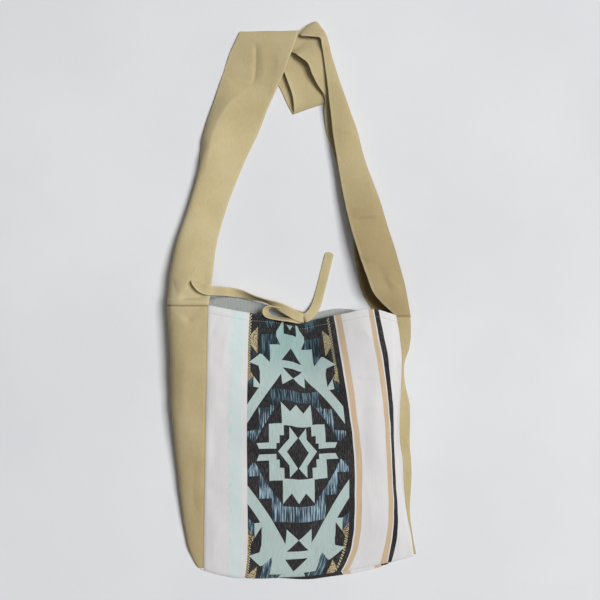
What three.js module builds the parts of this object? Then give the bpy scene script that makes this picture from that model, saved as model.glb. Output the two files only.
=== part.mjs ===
// A soft cloth crossbody bag lying on its back, with its shoulder strap folded above it.
// Millimetres, +Z up, +Y from the bag's bottom seam towards the strap.
import * as THREE from "three";

// Panels
const PANEL_WIDTH = 324;
const PANEL_HEIGHT = 396;
const PANEL_CLOTH = 1.6;
const HEM_DEPTH = 9;
const HEM_EXTRA = 0.7;
const CROWN_LIFT = 40;
const MOUTH_LIFT = 39;
const SEAM_GAP = 1.1;
const REST_GAP = 0.35;

// Gussets
const GUSSET_CLOTH = 1.8;
const GUSSET_FOOT = 6;

// Shoulder strap
const STRAP_WIDTH = 84;
const STRAP_REACH = 425;
const STRAP_CLOTH = 2;
const LAYER_GAP = 0.6;
const LEG_LIFT = 26;

// Ties
const TIE_WIDTH = 12;
const TIE_CLOTH = 1.8;

const vec = (x, y, z) => new THREE.Vector3(x, y, z);
const mix = THREE.MathUtils.lerp;
const steps = (count) => Array.from({ length: count + 1 }, (_, i) => i / count);

// Returns a smooth curve through knots [t, value, value, ...] as a function of t.
function spline(knots) {
  const last = knots.length - 1;
  const slope = (i, k) => {
    const a = knots[Math.max(i - 1, 0)];
    const b = knots[Math.min(i + 1, last)];
    return (b[k] - a[k]) / (b[0] - a[0]);
  };
  return (t) => {
    let i = 0;
    while (i < last - 1 && t > knots[i + 1][0]) i += 1;
    const h = knots[i + 1][0] - knots[i][0];
    const s = (t - knots[i][0]) / h;
    return knots[i].slice(1).map((p, n) => {
      const q = knots[i + 1][n + 1];
      const from = p + h * slope(i, n + 1) * s;
      const to = q - h * slope(i + 1, n + 1) * (1 - s);
      return mix(from, to, s * s * (3 - 2 * s));
    });
  };
}

// Builds one closed cloth of the given thickness about point(u, v), over lists of u and v.
function cloth(us, vs, point, thickness) {
  const grid = us.map((u) => vs.map((v) => point(u, v)));
  const rows = us.length;
  const cols = vs.length;
  const normal = (i, j) => {
    const du = grid[Math.min(i + 1, rows - 1)][j].clone().sub(grid[Math.max(i - 1, 0)][j]);
    const dv = grid[i][Math.min(j + 1, cols - 1)].clone().sub(grid[i][Math.max(j - 1, 0)]);
    return du.cross(dv).normalize();
  };
  const position = [];
  for (const side of [0.5, -0.5]) {
    us.forEach((u, i) =>
      vs.forEach((v, j) => {
        const out = normal(i, j).multiplyScalar(side * thickness(u, v));
        position.push(...grid[i][j].clone().add(out).toArray());
      }),
    );
  }
  const upper = (i, j) => i * cols + j;
  const lower = (i, j) => rows * cols + upper(i, j);
  const index = [];
  const quad = (a, b, c, d) => index.push(a, b, c, a, c, d);
  for (let i = 0; i < rows - 1; i += 1) {
    for (let j = 0; j < cols - 1; j += 1) {
      quad(upper(i, j), upper(i + 1, j), upper(i + 1, j + 1), upper(i, j + 1));
      quad(lower(i, j), lower(i, j + 1), lower(i + 1, j + 1), lower(i + 1, j));
    }
    quad(lower(i, 0), lower(i + 1, 0), upper(i + 1, 0), upper(i, 0));
    quad(upper(i, cols - 1), upper(i + 1, cols - 1), lower(i + 1, cols - 1), lower(i, cols - 1));
  }
  for (let j = 0; j < cols - 1; j += 1) {
    quad(upper(0, j), upper(0, j + 1), lower(0, j + 1), lower(0, j));
    quad(lower(rows - 1, j), lower(rows - 1, j + 1), upper(rows - 1, j + 1), upper(rows - 1, j));
  }
  const geometry = new THREE.BufferGeometry();
  geometry.setAttribute("position", new THREE.Float32BufferAttribute(position, 3));
  geometry.setIndex(index);
  geometry.computeVertexNormals();
  return geometry;
}

// Fills four edges that meet at the corners: u from left to right, v from the bottom to the mouth.
function patch(left, right, bottom, mouth) {
  return (u, v) => {
    const out = vec(0, 0, 0);
    out.addScaledVector(left(v), 1 - u).addScaledVector(right(v), u);
    out.addScaledVector(bottom(u), 1 - v).addScaledVector(mouth(u), v);
    out.addScaledVector(left(0), -(1 - u) * (1 - v)).addScaledVector(right(0), -u * (1 - v));
    return out.addScaledVector(left(1), -(1 - u) * v).addScaledVector(right(1), -u * v);
  };
}

// Panel outline, as shares of the panel from the left corner of the mouth.
const rightSeam = spline([
  [0, 0.938, 0.947],
  [0.09, 0.924, 0.867],
  [0.235, 0.896, 0.734],
  [0.4, 0.884, 0.582],
  [0.513, 0.87, 0.481],
  [0.77, 0.878, 0.246],
  [0.9, 0.87, 0.133],
  [1, 0.85, 0.039],
]);
const mouthEdge = spline([
  [0, 0, 0],
  [0.207, 0.176, 0.028],
  [0.307, 0.261, 0.039],
  [0.43, 0.366, 0.056],
  [0.485, 0.412, 0.068],
  [0.568, 0.483, 0.054],
  [0.752, 0.639, 0.027],
  [0.858, 0.729, 0.015],
  [0.966, 0.821, 0.03],
  [1, 0.85, 0.039],
]);
const bottomEdge = spline([
  [0, -0.032, 1],
  [0.1, 0.065, 1.021],
  [0.195, 0.157, 1.03],
  [0.376, 0.333, 1.027],
  [0.6, 0.55, 1.011],
  [0.885, 0.827, 0.97],
  [1, 0.938, 0.947],
]);
const backMouth = spline([
  [0, 0],
  [0.21, -0.03],
  [0.41, -0.017],
  [0.63, 0.032],
  [0.82, 0.012],
  [1, 0.039],
]);

// Heights of the front panel: across its body, and along the mouth with the dip at the knot.
const bodyLift = spline([
  [0, 0.9],
  [0.2, 0.96],
  [0.5, 1],
  [0.8, 1],
  [0.92, 0.93],
  [0.97, 0.62],
  [1, 0.15],
]);
const mouthLift = spline([
  [0, 1],
  [0.1, 0.9],
  [0.207, 0.7],
  [0.307, 0.4],
  [0.4, 0.22],
  [0.485, 0.18],
  [0.568, 0.24],
  [0.656, 0.42],
  [0.752, 0.62],
  [0.858, 0.72],
  [0.94, 0.65],
  [1, 0.46],
]);

const onPanel = ([x, y]) => vec(x * PANEL_WIDTH, -y * PANEL_HEIGHT, 0);
const seamZ = PANEL_CLOTH * 1.5 + REST_GAP;
const frontPlan = patch(
  (v) => onPanel([mix(-0.032, 0, v), 1 - v]),
  (v) => onPanel(rightSeam(v)),
  (u) => onPanel(bottomEdge(u)),
  (u) => onPanel(mouthEdge(u)),
);

// A point of the front panel's middle surface.
function front(u, v) {
  const rise = 1 - (1 - v) ** 2.2;
  const near = THREE.MathUtils.smoothstep(v, 0.62, 1);
  const lift = mix(bodyLift(u)[0] * CROWN_LIFT, mouthLift(u)[0] * MOUTH_LIFT, near);
  return frontPlan(u, v).setZ(seamZ + rise * lift);
}

// A strip's section is its back edge, two handles and its front edge.
const bezier = (points, v) => new THREE.CubicBezierCurve3(...points).getPoint(v);
const gussetTaper = spline([
  [0, 0],
  [0.04, 0.134],
  [0.125, 0.313],
  [0.22, 0.444],
  [0.345, 0.583],
  [0.47, 0.698],
  [0.61, 0.805],
  [0.85, 0.93],
  [1, 1],
]);
const gussetWidth = (v) => mix(GUSSET_FOOT, STRAP_WIDTH, gussetTaper(v)[0]);

// The left gusset stands on the floor and leans in to the front panel's seam.
function leftSection(v) {
  const seam = front(0, v).add(vec(-SEAM_GAP, 0, 0));
  const span = Math.sqrt(gussetWidth(v) ** 2 - (1.33 * seam.z) ** 2);
  const wall = vec(seam.x - span, seam.y, GUSSET_CLOTH * 0.3);
  const low = vec(wall.x - 0.04 * span, seam.y, 0.95 * seam.z);
  const high = vec(wall.x + 0.18 * span, seam.y, 1.02 * seam.z);
  return [wall, low, high, seam];
}

// How far the right gusset shows beyond its seam, as a share of the strap's width.
const rightShow = spline([
  [0, 0.02],
  [0.16, 0.03],
  [0.275, 0.1],
  [0.43, 0.13],
  [0.62, 0.16],
  [0.77, 0.03],
  [0.87, 0.13],
  [0.93, 0.19],
  [1, 0.25],
]);

// The right gusset turns under itself and lies on the floor below the front panel.
function rightSection(v) {
  const seam = front(1, v).add(vec(SEAM_GAP, 0, 0));
  const show = rightShow(v)[0] * STRAP_WIDTH;
  const floor = GUSSET_CLOTH / 2;
  const under = Math.max(gussetWidth(v) - Math.hypot(show, seam.z - floor), 2);
  const back = vec(seam.x + show - 0.85 * under, seam.y, floor);
  const bend = (seam.x + show - back.x / 27 - (8 * seam.x) / 27) * 1.5;
  return [back, vec(bend, seam.y, floor), vec(bend, seam.y, 0.8 * seam.z), seam];
}

const backPlan = patch(
  (v) => leftSection(v)[0].setZ(0).add(vec(GUSSET_CLOTH / 2 + SEAM_GAP, 0, 0)),
  (v) => rightSection(v)[0].setZ(0).add(vec(-SEAM_GAP, 0, 0)),
  (u) => {
    const left = leftSection(0)[0].x + GUSSET_CLOTH / 2 + SEAM_GAP;
    const right = rightSection(0)[0].x - SEAM_GAP;
    return vec(mix(left, right, u), -bottomEdge(u)[1] * PANEL_HEIGHT, 0);
  },
  (u) => {
    const left = leftSection(1)[0].x + GUSSET_CLOTH / 2 + SEAM_GAP;
    const right = rightSection(1)[0].x - SEAM_GAP;
    return vec(mix(left, right, u), -backMouth(u)[0] * PANEL_HEIGHT, 0);
  },
);

// The strap's flat stations, in order: middle x and y as shares of the reach, line from back to
// front edge in strap widths, heights of both edges in layers, evenness of the section, crest lift.
const FLAT_STATIONS = [
  [-0.065, 0.105, 0.75, -0.03, -0.15, 11.92, 0, 1.28],
  [-0.05, 0.207, 0.69, -0.06, -0.15, 6.54, 0, 1.14],
  [-0.023, 0.306, 0.62, -0.13, -0.15, 2.31, 0, 1],
  [0.015, 0.425, 0.62, -0.18, -0.15, 0.58, 0, 0.92],
  [0.047, 0.529, 0.71, -0.2, 0, 0.19, 0.2, 0.65],
  [0.084, 0.636, 0.83, -0.25, 0, 0.08, 0.5, 0.38],
  [0.115, 0.731, 0.88, -0.29, 0, 0.77, 0.85, 0.13],
  [0.146, 0.809, 0.99, -0.18, 0.23, 3.5, 1, 0],
  [0.175, 0.885, 1.05, -0.08, 1, 6, 1, 0],
  [0.2, 0.946, 1.03, -0.03, 1.31, 5.5, 1, 0],
  [0.206, 0.963, 1.03, 0, 0.65, 2.7, 1, 0],
  [0.212, 0.95, 1.03, 0, 0, 0, 1, 0],
  [0.282, 0.883, 1.04, 0.18, 0, 0, 1, 0],
  [0.331, 0.801, 0.94, 0.22, 0, 0, 1, 0],
  [0.365, 0.719, 0.84, 0.29, 0, 0, 1, 0],
  [0.375, 0.706, 0.83, 0.29, 0.8, 0.5, 1, 0],
  [0.37, 0.721, 0.77, 0.29, 1.6, 1, 1, 0.1],
  [0.36, 0.769, 0.72, 0.32, 2.2, 1, 1, 0.1],
  [0.33, 0.856, 0.73, 0.3, 2, 1, 1, 0.08],
  [0.307, 0.937, 0.66, 0.45, 1.2, 1, 1, 0],
  [0.304, 0.951, 0.65, 0.46, 1.7, 1.7, 1, 0],
];

// The strap's rolled stations: the bend's x and y as shares of the reach, the back and front edges
// from the bend in strap widths, heights of both edges in layers.
const ROLLED_STATIONS = [
  [0.368, 0.992, -0.6, -0.48, -0.26, -0.23, 2.3, 5],
  [0.386, 0.967, -0.6, -0.38, -0.17, -0.14, 3, 6.4],
  [0.396, 0.946, -0.54, -0.3, -0.06, -0.07, 4.2, 7.4],
  [0.409, 0.908, -0.48, -0.2, -0.09, -0.02, 5.6, 8.4],
  [0.419, 0.872, -0.39, -0.14, -0.11, -0.01, 6, 8.8],
  [0.433, 0.83, -0.39, -0.1, -0.15, -0.02, 5.6, 8.8],
  [0.451, 0.777, -0.38, -0.02, -0.2, -0.04, 4.4, 8.4],
  [0.47, 0.728, -0.35, 0.03, -0.27, -0.04, 3, 7.8],
  [0.489, 0.676, -0.44, 0.03, -0.33, -0.06, 1.8, 7.2],
  [0.511, 0.616, -0.52, 0.01, -0.41, -0.05, 0.6, 6.6],
  [0.53, 0.546, -0.5, 0.01, -0.45, -0.05, 0, 6.6],
  [0.549, 0.483, -0.5, 0.01, -0.5, -0.01, 0, 6.6],
  [0.586, 0.386, -0.5, 0, -0.6, -0.02, 0, 7.4],
  [0.615, 0.291, -0.58, 0, -0.64, -0.02, 0, 9],
  [0.645, 0.193, -0.7, 0, -0.66, 0.02, 0, 11.2],
  [0.67, 0.103, -0.75, -0.01, -0.63, 0.01, 0, 13.2],
  [0.684, 0.04, -0.74, 0, -0.57, 0.01, 0, 13.2],
];

const layerZ = (n) => STRAP_CLOTH / 2 + n * (STRAP_CLOTH + LAYER_GAP);

function flatSection([x, y, dx, dy, backLayer, frontLayer, even, crest]) {
  const middle = vec(x * STRAP_REACH, y * STRAP_REACH, 0);
  const half = vec(dx, dy, 0).multiplyScalar(STRAP_WIDTH / 2);
  const back = middle.clone().sub(half).setZ(layerZ(backLayer));
  const edge = middle.clone().add(half).setZ(layerZ(frontLayer));
  const handle = (share) => back.clone().lerp(edge, share).add(vec(0, 0, crest * LEG_LIFT));
  return [back, handle(mix(-0.06, 1 / 3, even)), handle(mix(0.12, 2 / 3, even)), edge];
}

function rolledSection([x, y, bx, by, fx, fy, backLayer, frontLayer]) {
  const bend = vec(x * STRAP_REACH, y * STRAP_REACH, 0);
  const back = vec(bx, by, 0).multiplyScalar(STRAP_WIDTH).add(bend).setZ(layerZ(backLayer));
  const edge = vec(fx, fy, 0).multiplyScalar(STRAP_WIDTH).add(bend).setZ(layerZ(frontLayer));
  const handle = bend.clone().addScaledVector(back, -1 / 8).addScaledVector(edge, -1 / 8).divideScalar(0.75);
  return [back, handle.clone().setZ(back.z), handle.clone().setZ(edge.z), edge];
}

// A strip that runs through sections: u along it, v from its back edge to its front edge.
function strip(sections) {
  const rails = [0, 1, 2, 3].map(
    (k) => new THREE.CatmullRomCurve3(sections.map((s) => s[k]), false, "centripetal"),
  );
  return (u, v) => {
    const point = bezier(rails.map((rail) => rail.getPoint(u)), v);
    return point.setZ(Math.max(point.z, layerZ(0)));
  };
}

const aboveGusset = (points) => points.map((p) => p.add(vec(0, SEAM_GAP, 0)));
const strapSections = [
  aboveGusset(leftSection(1)),
  ...FLAT_STATIONS.map(flatSection),
  ...ROLLED_STATIONS.map(rolledSection),
  aboveGusset(rightSection(1)),
];

// A flat tie along a route of points, each with the way across the tie there.
function tie(route) {
  const path = new THREE.CatmullRomCurve3(route.map(([x, y, z]) => vec(x, y, z)), false, "centripetal");
  const across = spline(route.map((row, i) => [i / (route.length - 1), ...row.slice(3)]));
  return (u, v) => {
    const along = path.getTangent(u);
    const side = vec(...across(u)).projectOnPlane(along).normalize();
    return path.getPoint(u).addScaledVector(side, (v - 0.5) * TIE_WIDTH);
  };
}

const FRONT_TIE = [
  [134.1, -31.4, 6.2, 1, 0, 0],
  [134.7, -24.7, 6.8, 1, 0.2, 0],
  [136.6, -20.8, 8.9, 0.8, -0.6, 0],
  [140.8, -18.6, 12, 0.35, -0.95, 0],
  [145.9, -15.9, 12.4, 0.5, -0.87, 0],
  [150.2, -11.8, 11, 0.7, -0.7, 0],
  [154.1, -6.4, 8.6, 0.85, -0.5, 0],
  [157.6, 0.7, 5.6, 0.93, -0.36, 0],
  [160.6, 9.7, 3.1, 0.95, -0.3, 0],
  [163.3, 20.2, 1.7, 0.97, -0.25, 0],
  [168.3, 40.4, 1.3, 0.97, -0.25, 0],
  [173.8, 62.9, 1.3, 0.97, -0.25, 0],
  [177.9, 78.9, 1.3, 0.97, -0.25, 0],
];
const BACK_TIE = [
  [135.9, -15.9, 3.2, 0, 1, 0],
  [128.9, -13.6, 5.5, 0, 1, 0.1],
  [119.9, -11.0, 11, 0, 0.8, 0.6],
  [109.6, -7.6, 16, 0, 0.45, 0.9],
  [99.3, -4.1, 19.5, 0.05, 0.25, 1],
  [90.4, -2.5, 21.5, -0.15, 0.25, 0.95],
  [84.5, -4.7, 22.3, -0.5, 0.2, 0.85],
  [82.5, -8.8, 22.4, -0.62, 0, 0.78],
  [84.5, -13.1, 22, -0.5, -0.3, 0.8],
  [90.4, -16.5, 22, -0.15, -0.35, 0.93],
  [99.3, -18.6, 21.4, 0, -0.3, 0.95],
  [109.6, -20.0, 19.6, 0, -0.3, 0.95],
  [120.0, -20.9, 17.4, 0, -0.5, 0.86],
  [128.9, -20.3, 15.6, 0, -0.9, 0.45],
  [135.1, -19.3, 15.6, 0, -1, 0],
  [137.4, -18.7, 17.6, 0, -1, 0],
  [134.8, -18.0, 19.6, 0, -1, 0],
  [128.9, -15.8, 20.6, -0.4, -0.92, 0],
  [119.3, -10.0, 22, -0.5, -0.86, -0.1],
  [109.7, -4.5, 23.5, -0.45, -0.82, -0.35],
  [100.9, 0.1, 24.5, -0.35, -0.68, -0.65],
  [90.5, 4.3, 24, -0.2, -0.45, -0.87],
  [77.1, 8.6, 20, -0.1, -0.35, -0.93],
  [62.0, 12.9, 14, 0, -0.6, -0.8],
  [48.3, 16.8, 9, 0, -0.85, -0.5],
  [34.8, 19.5, 7.4, 0, -0.97, -0.2],
  [21.7, 21.0, 11.5, 0, -1, 0],
  [12.0, 21.5, 28, 0, -1, 0],
  [5.4, 21.7, 39, 0, -1, 0],
  [-1.7, 22.2, 43, 0, -1, 0],
  [-9.7, 24.8, 43.3, -0.25, -0.9, 0.25],
  [-16.3, 28.9, 43.3, -0.45, -0.7, 0.55],
  [-21.1, 33.0, 42.8, -0.45, -0.5, 0.75],
  [-23.8, 36.0, 42, -0.45, -0.45, 0.78],
];

const canvas = new THREE.MeshStandardMaterial({ color: 0xb9aa7d, roughness: 0.9, metalness: 0 });
const woven = new THREE.MeshStandardMaterial({ color: 0xd9d4cf, roughness: 0.9, metalness: 0 });

const hemShare = HEM_DEPTH / PANEL_HEIGHT;
const panelColumns = steps(28).map((t) => t - Math.sin(2 * Math.PI * t) / (4 * Math.PI));
const panelRows = [...steps(27).map((t) => t * (0.998 - hemShare)), 1 - hemShare, 1];
const panelCloth = (u, v) => PANEL_CLOTH + (v < 0.999 - hemShare ? 0 : HEM_EXTRA);
const gussetRows = steps(30).map((t) => mix(0.035, 1, t));
const flatCloth = (thickness) => () => thickness;

const group = new THREE.Group();
function add(name, geometry, material) {
  const mesh = new THREE.Mesh(geometry, material);
  mesh.name = name;
  group.add(mesh);
}

const backSheet = (u, v) => backPlan(u, v).setZ(PANEL_CLOTH / 2);
add("front_panel", cloth(panelColumns, panelRows, front, panelCloth), woven);
add("back_panel", cloth(steps(14), [0, ...gussetRows], backSheet, flatCloth(PANEL_CLOTH)), woven);
const left = (u, v) => bezier(leftSection(u), v);
const right = (u, v) => bezier(rightSection(u), v);
add("left_gusset", cloth(gussetRows, steps(9), left, flatCloth(GUSSET_CLOTH)), canvas);
add("right_gusset", cloth(gussetRows, steps(10), right, flatCloth(GUSSET_CLOTH)), canvas);
add("shoulder_strap", cloth(steps(117), steps(10), strip(strapSections), flatCloth(STRAP_CLOTH)), canvas);
add("front_tie", cloth(steps(44), steps(2), tie(FRONT_TIE), flatCloth(TIE_CLOTH)), canvas);
add("back_tie", cloth(steps(80), steps(2), tie(BACK_TIE), flatCloth(TIE_CLOTH)), canvas);

// The part stands on the floor with its outline centred on the origin.
const box = new THREE.Box3().setFromObject(group);
const centre = box.getCenter(vec(0, 0, 0));
group.position.set(-centre.x, -centre.y, -box.min.z);

export default group;
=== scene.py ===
"""A soft woven crossbody bag lying on its back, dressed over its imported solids."""
import logging
import math
from dataclasses import dataclass, field
from enum import Enum
from typing import Callable, Mapping, Sequence

import bpy
import numpy as np
from mathutils.geometry import delaunay_2d_cdt
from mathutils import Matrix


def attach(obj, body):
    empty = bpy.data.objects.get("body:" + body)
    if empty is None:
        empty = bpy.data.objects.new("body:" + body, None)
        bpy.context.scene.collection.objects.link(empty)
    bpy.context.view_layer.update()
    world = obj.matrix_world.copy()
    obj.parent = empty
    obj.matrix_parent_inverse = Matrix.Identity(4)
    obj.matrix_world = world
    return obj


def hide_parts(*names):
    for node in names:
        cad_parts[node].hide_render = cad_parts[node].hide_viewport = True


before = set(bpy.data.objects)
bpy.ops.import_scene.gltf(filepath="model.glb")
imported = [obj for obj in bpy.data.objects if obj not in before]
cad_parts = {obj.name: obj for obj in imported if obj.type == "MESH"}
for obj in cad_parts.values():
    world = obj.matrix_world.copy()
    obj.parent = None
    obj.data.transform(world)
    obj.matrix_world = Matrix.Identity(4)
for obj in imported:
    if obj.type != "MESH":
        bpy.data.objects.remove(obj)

LOG = logging.getLogger("crossbody_bag")
MM = 0.001
FAR = 1e9
TINY = 1e-12
Array = np.ndarray
Rgb = tuple[float, float, float]
Curve = Callable[[Array], Array]
Material = bpy.types.Material
Node = bpy.types.Node
Piece = bpy.types.Object
Socket = bpy.types.NodeSocket


def linear(red: float, green: float, blue: float) -> Rgb:
    """Turns a display colour of 0 to 255 into linear light.

    Args:
        red: Red of the display colour.
        green: Green of the display colour.
        blue: Blue of the display colour.

    Returns:
        The same colour in linear light.
    """
    knee, slope, offset, power = 0.04045, 12.92, 0.055, 2.4
    shares = [value / 255 for value in (red, green, blue)]
    bent = [s / slope if s <= knee else ((s + offset) / (1 + offset)) ** power for s in shares]
    return bent[0], bent[1], bent[2]


def ease(share: Array) -> Array:
    """Bends shares of 0 to 1 so that they start and end level."""
    return share * share * (3 - 2 * share)


def smooth(value: Array, low: float, high: float) -> Array:
    """Rises smoothly from 0 at low to 1 at high."""
    return ease(np.clip((np.asarray(value, float) - low) / (high - low), 0, 1))


def fading(distance: Array, reach: float | Array) -> Array:
    """Falls from 1 at no distance, by the same part over every reach."""
    return np.exp(-distance / reach)


def bell(distance: Array, reach: float) -> Array:
    """Falls from 1 at no distance to both sides, as a bell of that reach."""
    return np.exp(-((distance / reach) ** 2))


def normalised(vectors: Array) -> Array:
    """Gives the vectors at length 1."""
    return vectors / np.maximum(np.linalg.norm(vectors, axis=1, keepdims=True), TINY)


def steps(points: Array) -> Array:
    """Gives the distance from each point to the next."""
    return np.linalg.norm(np.diff(points, axis=0), axis=1)


def put(name: str, data: bpy.types.ID) -> Piece:
    """Puts an object with that data into the scene.

    Args:
        name: The object's name.
        data: Its mesh, camera or light.

    Returns:
        The object.
    """
    piece = bpy.data.objects.new(name, data)
    bpy.context.scene.collection.objects.link(piece)
    return piece


def curve_through(knots: Sequence[Sequence[float]]) -> Curve:
    """Makes a smooth curve through knots of a place and one or more values.

    Args:
        knots: Rows of a place followed by the values there.

    Returns:
        A function from places to values, with the values on the last axis.
    """
    table = np.asarray(knots, float)
    place = table[:, 0]
    values = table[:, 1:]
    count = len(place)
    before = np.maximum(np.arange(count) - 1, 0)
    after = np.minimum(np.arange(count) + 1, count - 1)
    slope = (values[after] - values[before]) / (place[after] - place[before])[:, None]

    def at(where: Array) -> Array:
        """Gives the values at the places.

        Args:
            where: Places, within the knots or past them.

        Returns:
            The values there.
        """
        asked = np.asarray(where, float)
        i = np.clip(np.searchsorted(place, asked, side="left") - 1, 0, count - 2)
        gap = place[i + 1] - place[i]
        share = (asked - place[i]) / gap
        start = values[i] + (gap * share)[..., None] * slope[i]
        end = values[i + 1] - (gap * (1 - share))[..., None] * slope[i + 1]
        return start + (end - start) * ease(share)[..., None]

    return at


def rail_through(points: Array) -> Curve:
    """Makes a centripetal rail through points, on shares 0 to 1 of its stations.

    Args:
        points: One station on each row.

    Returns:
        A function from shares to points.
    """
    ends = (2 * points[0] - points[1], 2 * points[-1] - points[-2])
    run = np.vstack([ends[0], points, ends[1]])
    gaps = steps(run) ** 0.5
    last = len(points) - 1

    def at(where: Array) -> Array:
        """Gives the points at the shares.

        Args:
            where: Shares of the rail's stations.

        Returns:
            The points there.
        """
        scaled = np.clip(np.asarray(where, float), 0, 1) * last
        i = np.minimum(scaled.astype(int), last - 1)
        share = (scaled - i)[..., None]
        a, b, c, d = run[i], run[i + 1], run[i + 2], run[i + 3]
        g0, g1, g2 = gaps[i][..., None], gaps[i + 1][..., None], gaps[i + 2][..., None]
        leave = ((b - a) / g0 - (c - a) / (g0 + g1) + (c - b) / g1) * g1
        reach = ((c - b) / g1 - (d - b) / (g1 + g2) + (d - c) / g2) * g1
        bend = -3 * b + 3 * c - 2 * leave - reach
        return b + leave * share + bend * share**2 + (2 * b - 2 * c + leave + reach) * share**3

    return at


def bezier(points: Sequence[Array], share: Array) -> Array:
    """Gives points of cubic sections.

    Args:
        points: The four control points of each section.
        share: Shares across the sections.

    Returns:
        Points across the sections.
    """
    t = share[..., None]
    near = points[0] * (1 - t) ** 3 + 3 * points[1] * t * (1 - t) ** 2
    return near + 3 * points[2] * t * t * (1 - t) + points[3] * t**3


@dataclass(frozen=True)
class Ripple:
    """Gentle unevenness of cloth as a sum of seeded waves."""

    seed: int
    shortest: float
    longest: float
    height: float
    waves: int = 14

    def at(self, x: Array, y: Array) -> Array:
        """Gives the heights at places on the cloth.

        Args:
            x: Places across.
            y: Places along.

        Returns:
            Heights in the unit of height.
        """
        draw = np.random.default_rng(self.seed)
        total = np.zeros(np.shape(x))
        for _ in range(self.waves):
            turn = draw.uniform(0, math.tau)
            size = draw.uniform(self.shortest, self.longest)
            phase = draw.uniform(0, math.tau)
            total += np.sin((x * math.cos(turn) + y * math.sin(turn)) * math.tau / size + phase)
        return total * self.height / math.sqrt(self.waves / 2)


@dataclass(frozen=True)
class Crease:
    """A crease in cloth along a line of plan points, in millimetres of the row frame.

    It rises to its height on the line and falls off over one width on each side of it.
    """

    line: tuple[tuple[float, float], ...]
    height: float
    left: float
    right: float
    fade: float = 0.25
    softness: float = 0.8

    DENSITY = 8

    def at(self, x: Array, y: Array) -> Array:
        """Gives the crease's height over plan places.

        Args:
            x: Plan x in millimetres.
            y: Plan y in millimetres.

        Returns:
            Heights in millimetres.
        """
        shares = np.linspace(0, 1, self.DENSITY * len(self.line))
        nodes = rail_through(np.asarray(self.line, float))(shares)
        nearest = np.full(np.shape(x), FAR)
        side = np.zeros(np.shape(x))
        along = np.zeros(np.shape(x))
        lengths = steps(nodes)
        starts = np.concatenate([[0], np.cumsum(lengths)])
        for k, (a, b) in enumerate(zip(nodes[:-1], nodes[1:])):
            way = (b - a) / lengths[k]
            run = np.clip((x - a[0]) * way[0] + (y - a[1]) * way[1], 0, lengths[k])
            off_x = x - a[0] - run * way[0]
            off_y = y - a[1] - run * way[1]
            far = np.hypot(off_x, off_y)
            closer = far < nearest
            nearest = np.where(closer, far, nearest)
            side = np.where(closer, way[0] * off_y - way[1] * off_x, side)
            along = np.where(closer, (starts[k] + run) / starts[-1], along)
        ends = smooth(along, 0, self.fade) * smooth(1 - along, 0, self.fade)
        width = np.where(side > 0, self.left, self.right)
        away = np.sqrt(nearest**2 + self.softness**2) - self.softness
        return ends * self.height * fading(away, width)


def creased(creases: Sequence[Crease], x: Array, y: Array) -> Array:
    """Gives the height of several creases together.

    Args:
        creases: The creases.
        x: Plan x in millimetres.
        y: Plan y in millimetres.

    Returns:
        Heights in millimetres.
    """
    return sum((crease.at(x, y) for crease in creases), np.zeros(np.shape(x)))


class NodeGraph:
    """A node tree with a short way to add and link nodes."""

    def __init__(self, tree: bpy.types.NodeTree) -> None:
        """Takes a tree and empties it."""
        self.tree = tree
        tree.nodes.clear()

    def add(self, kind: str, inputs: Mapping[str | int, object] | None = None, **settings: object) -> Node:
        """Adds a node.

        Args:
            kind: The node's type name.
            inputs: Sockets to link or values to store, by name or number of the input.
            settings: Values of its properties.

        Returns:
            The node.
        """
        node = self.tree.nodes.new(kind)
        for key, value in settings.items():
            setattr(node, key, value)
        for key, value in (inputs or {}).items():
            if isinstance(value, Socket):
                self.tree.links.new(value, node.inputs[key])
            else:
                node.inputs[key].default_value = value
        return node


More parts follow.
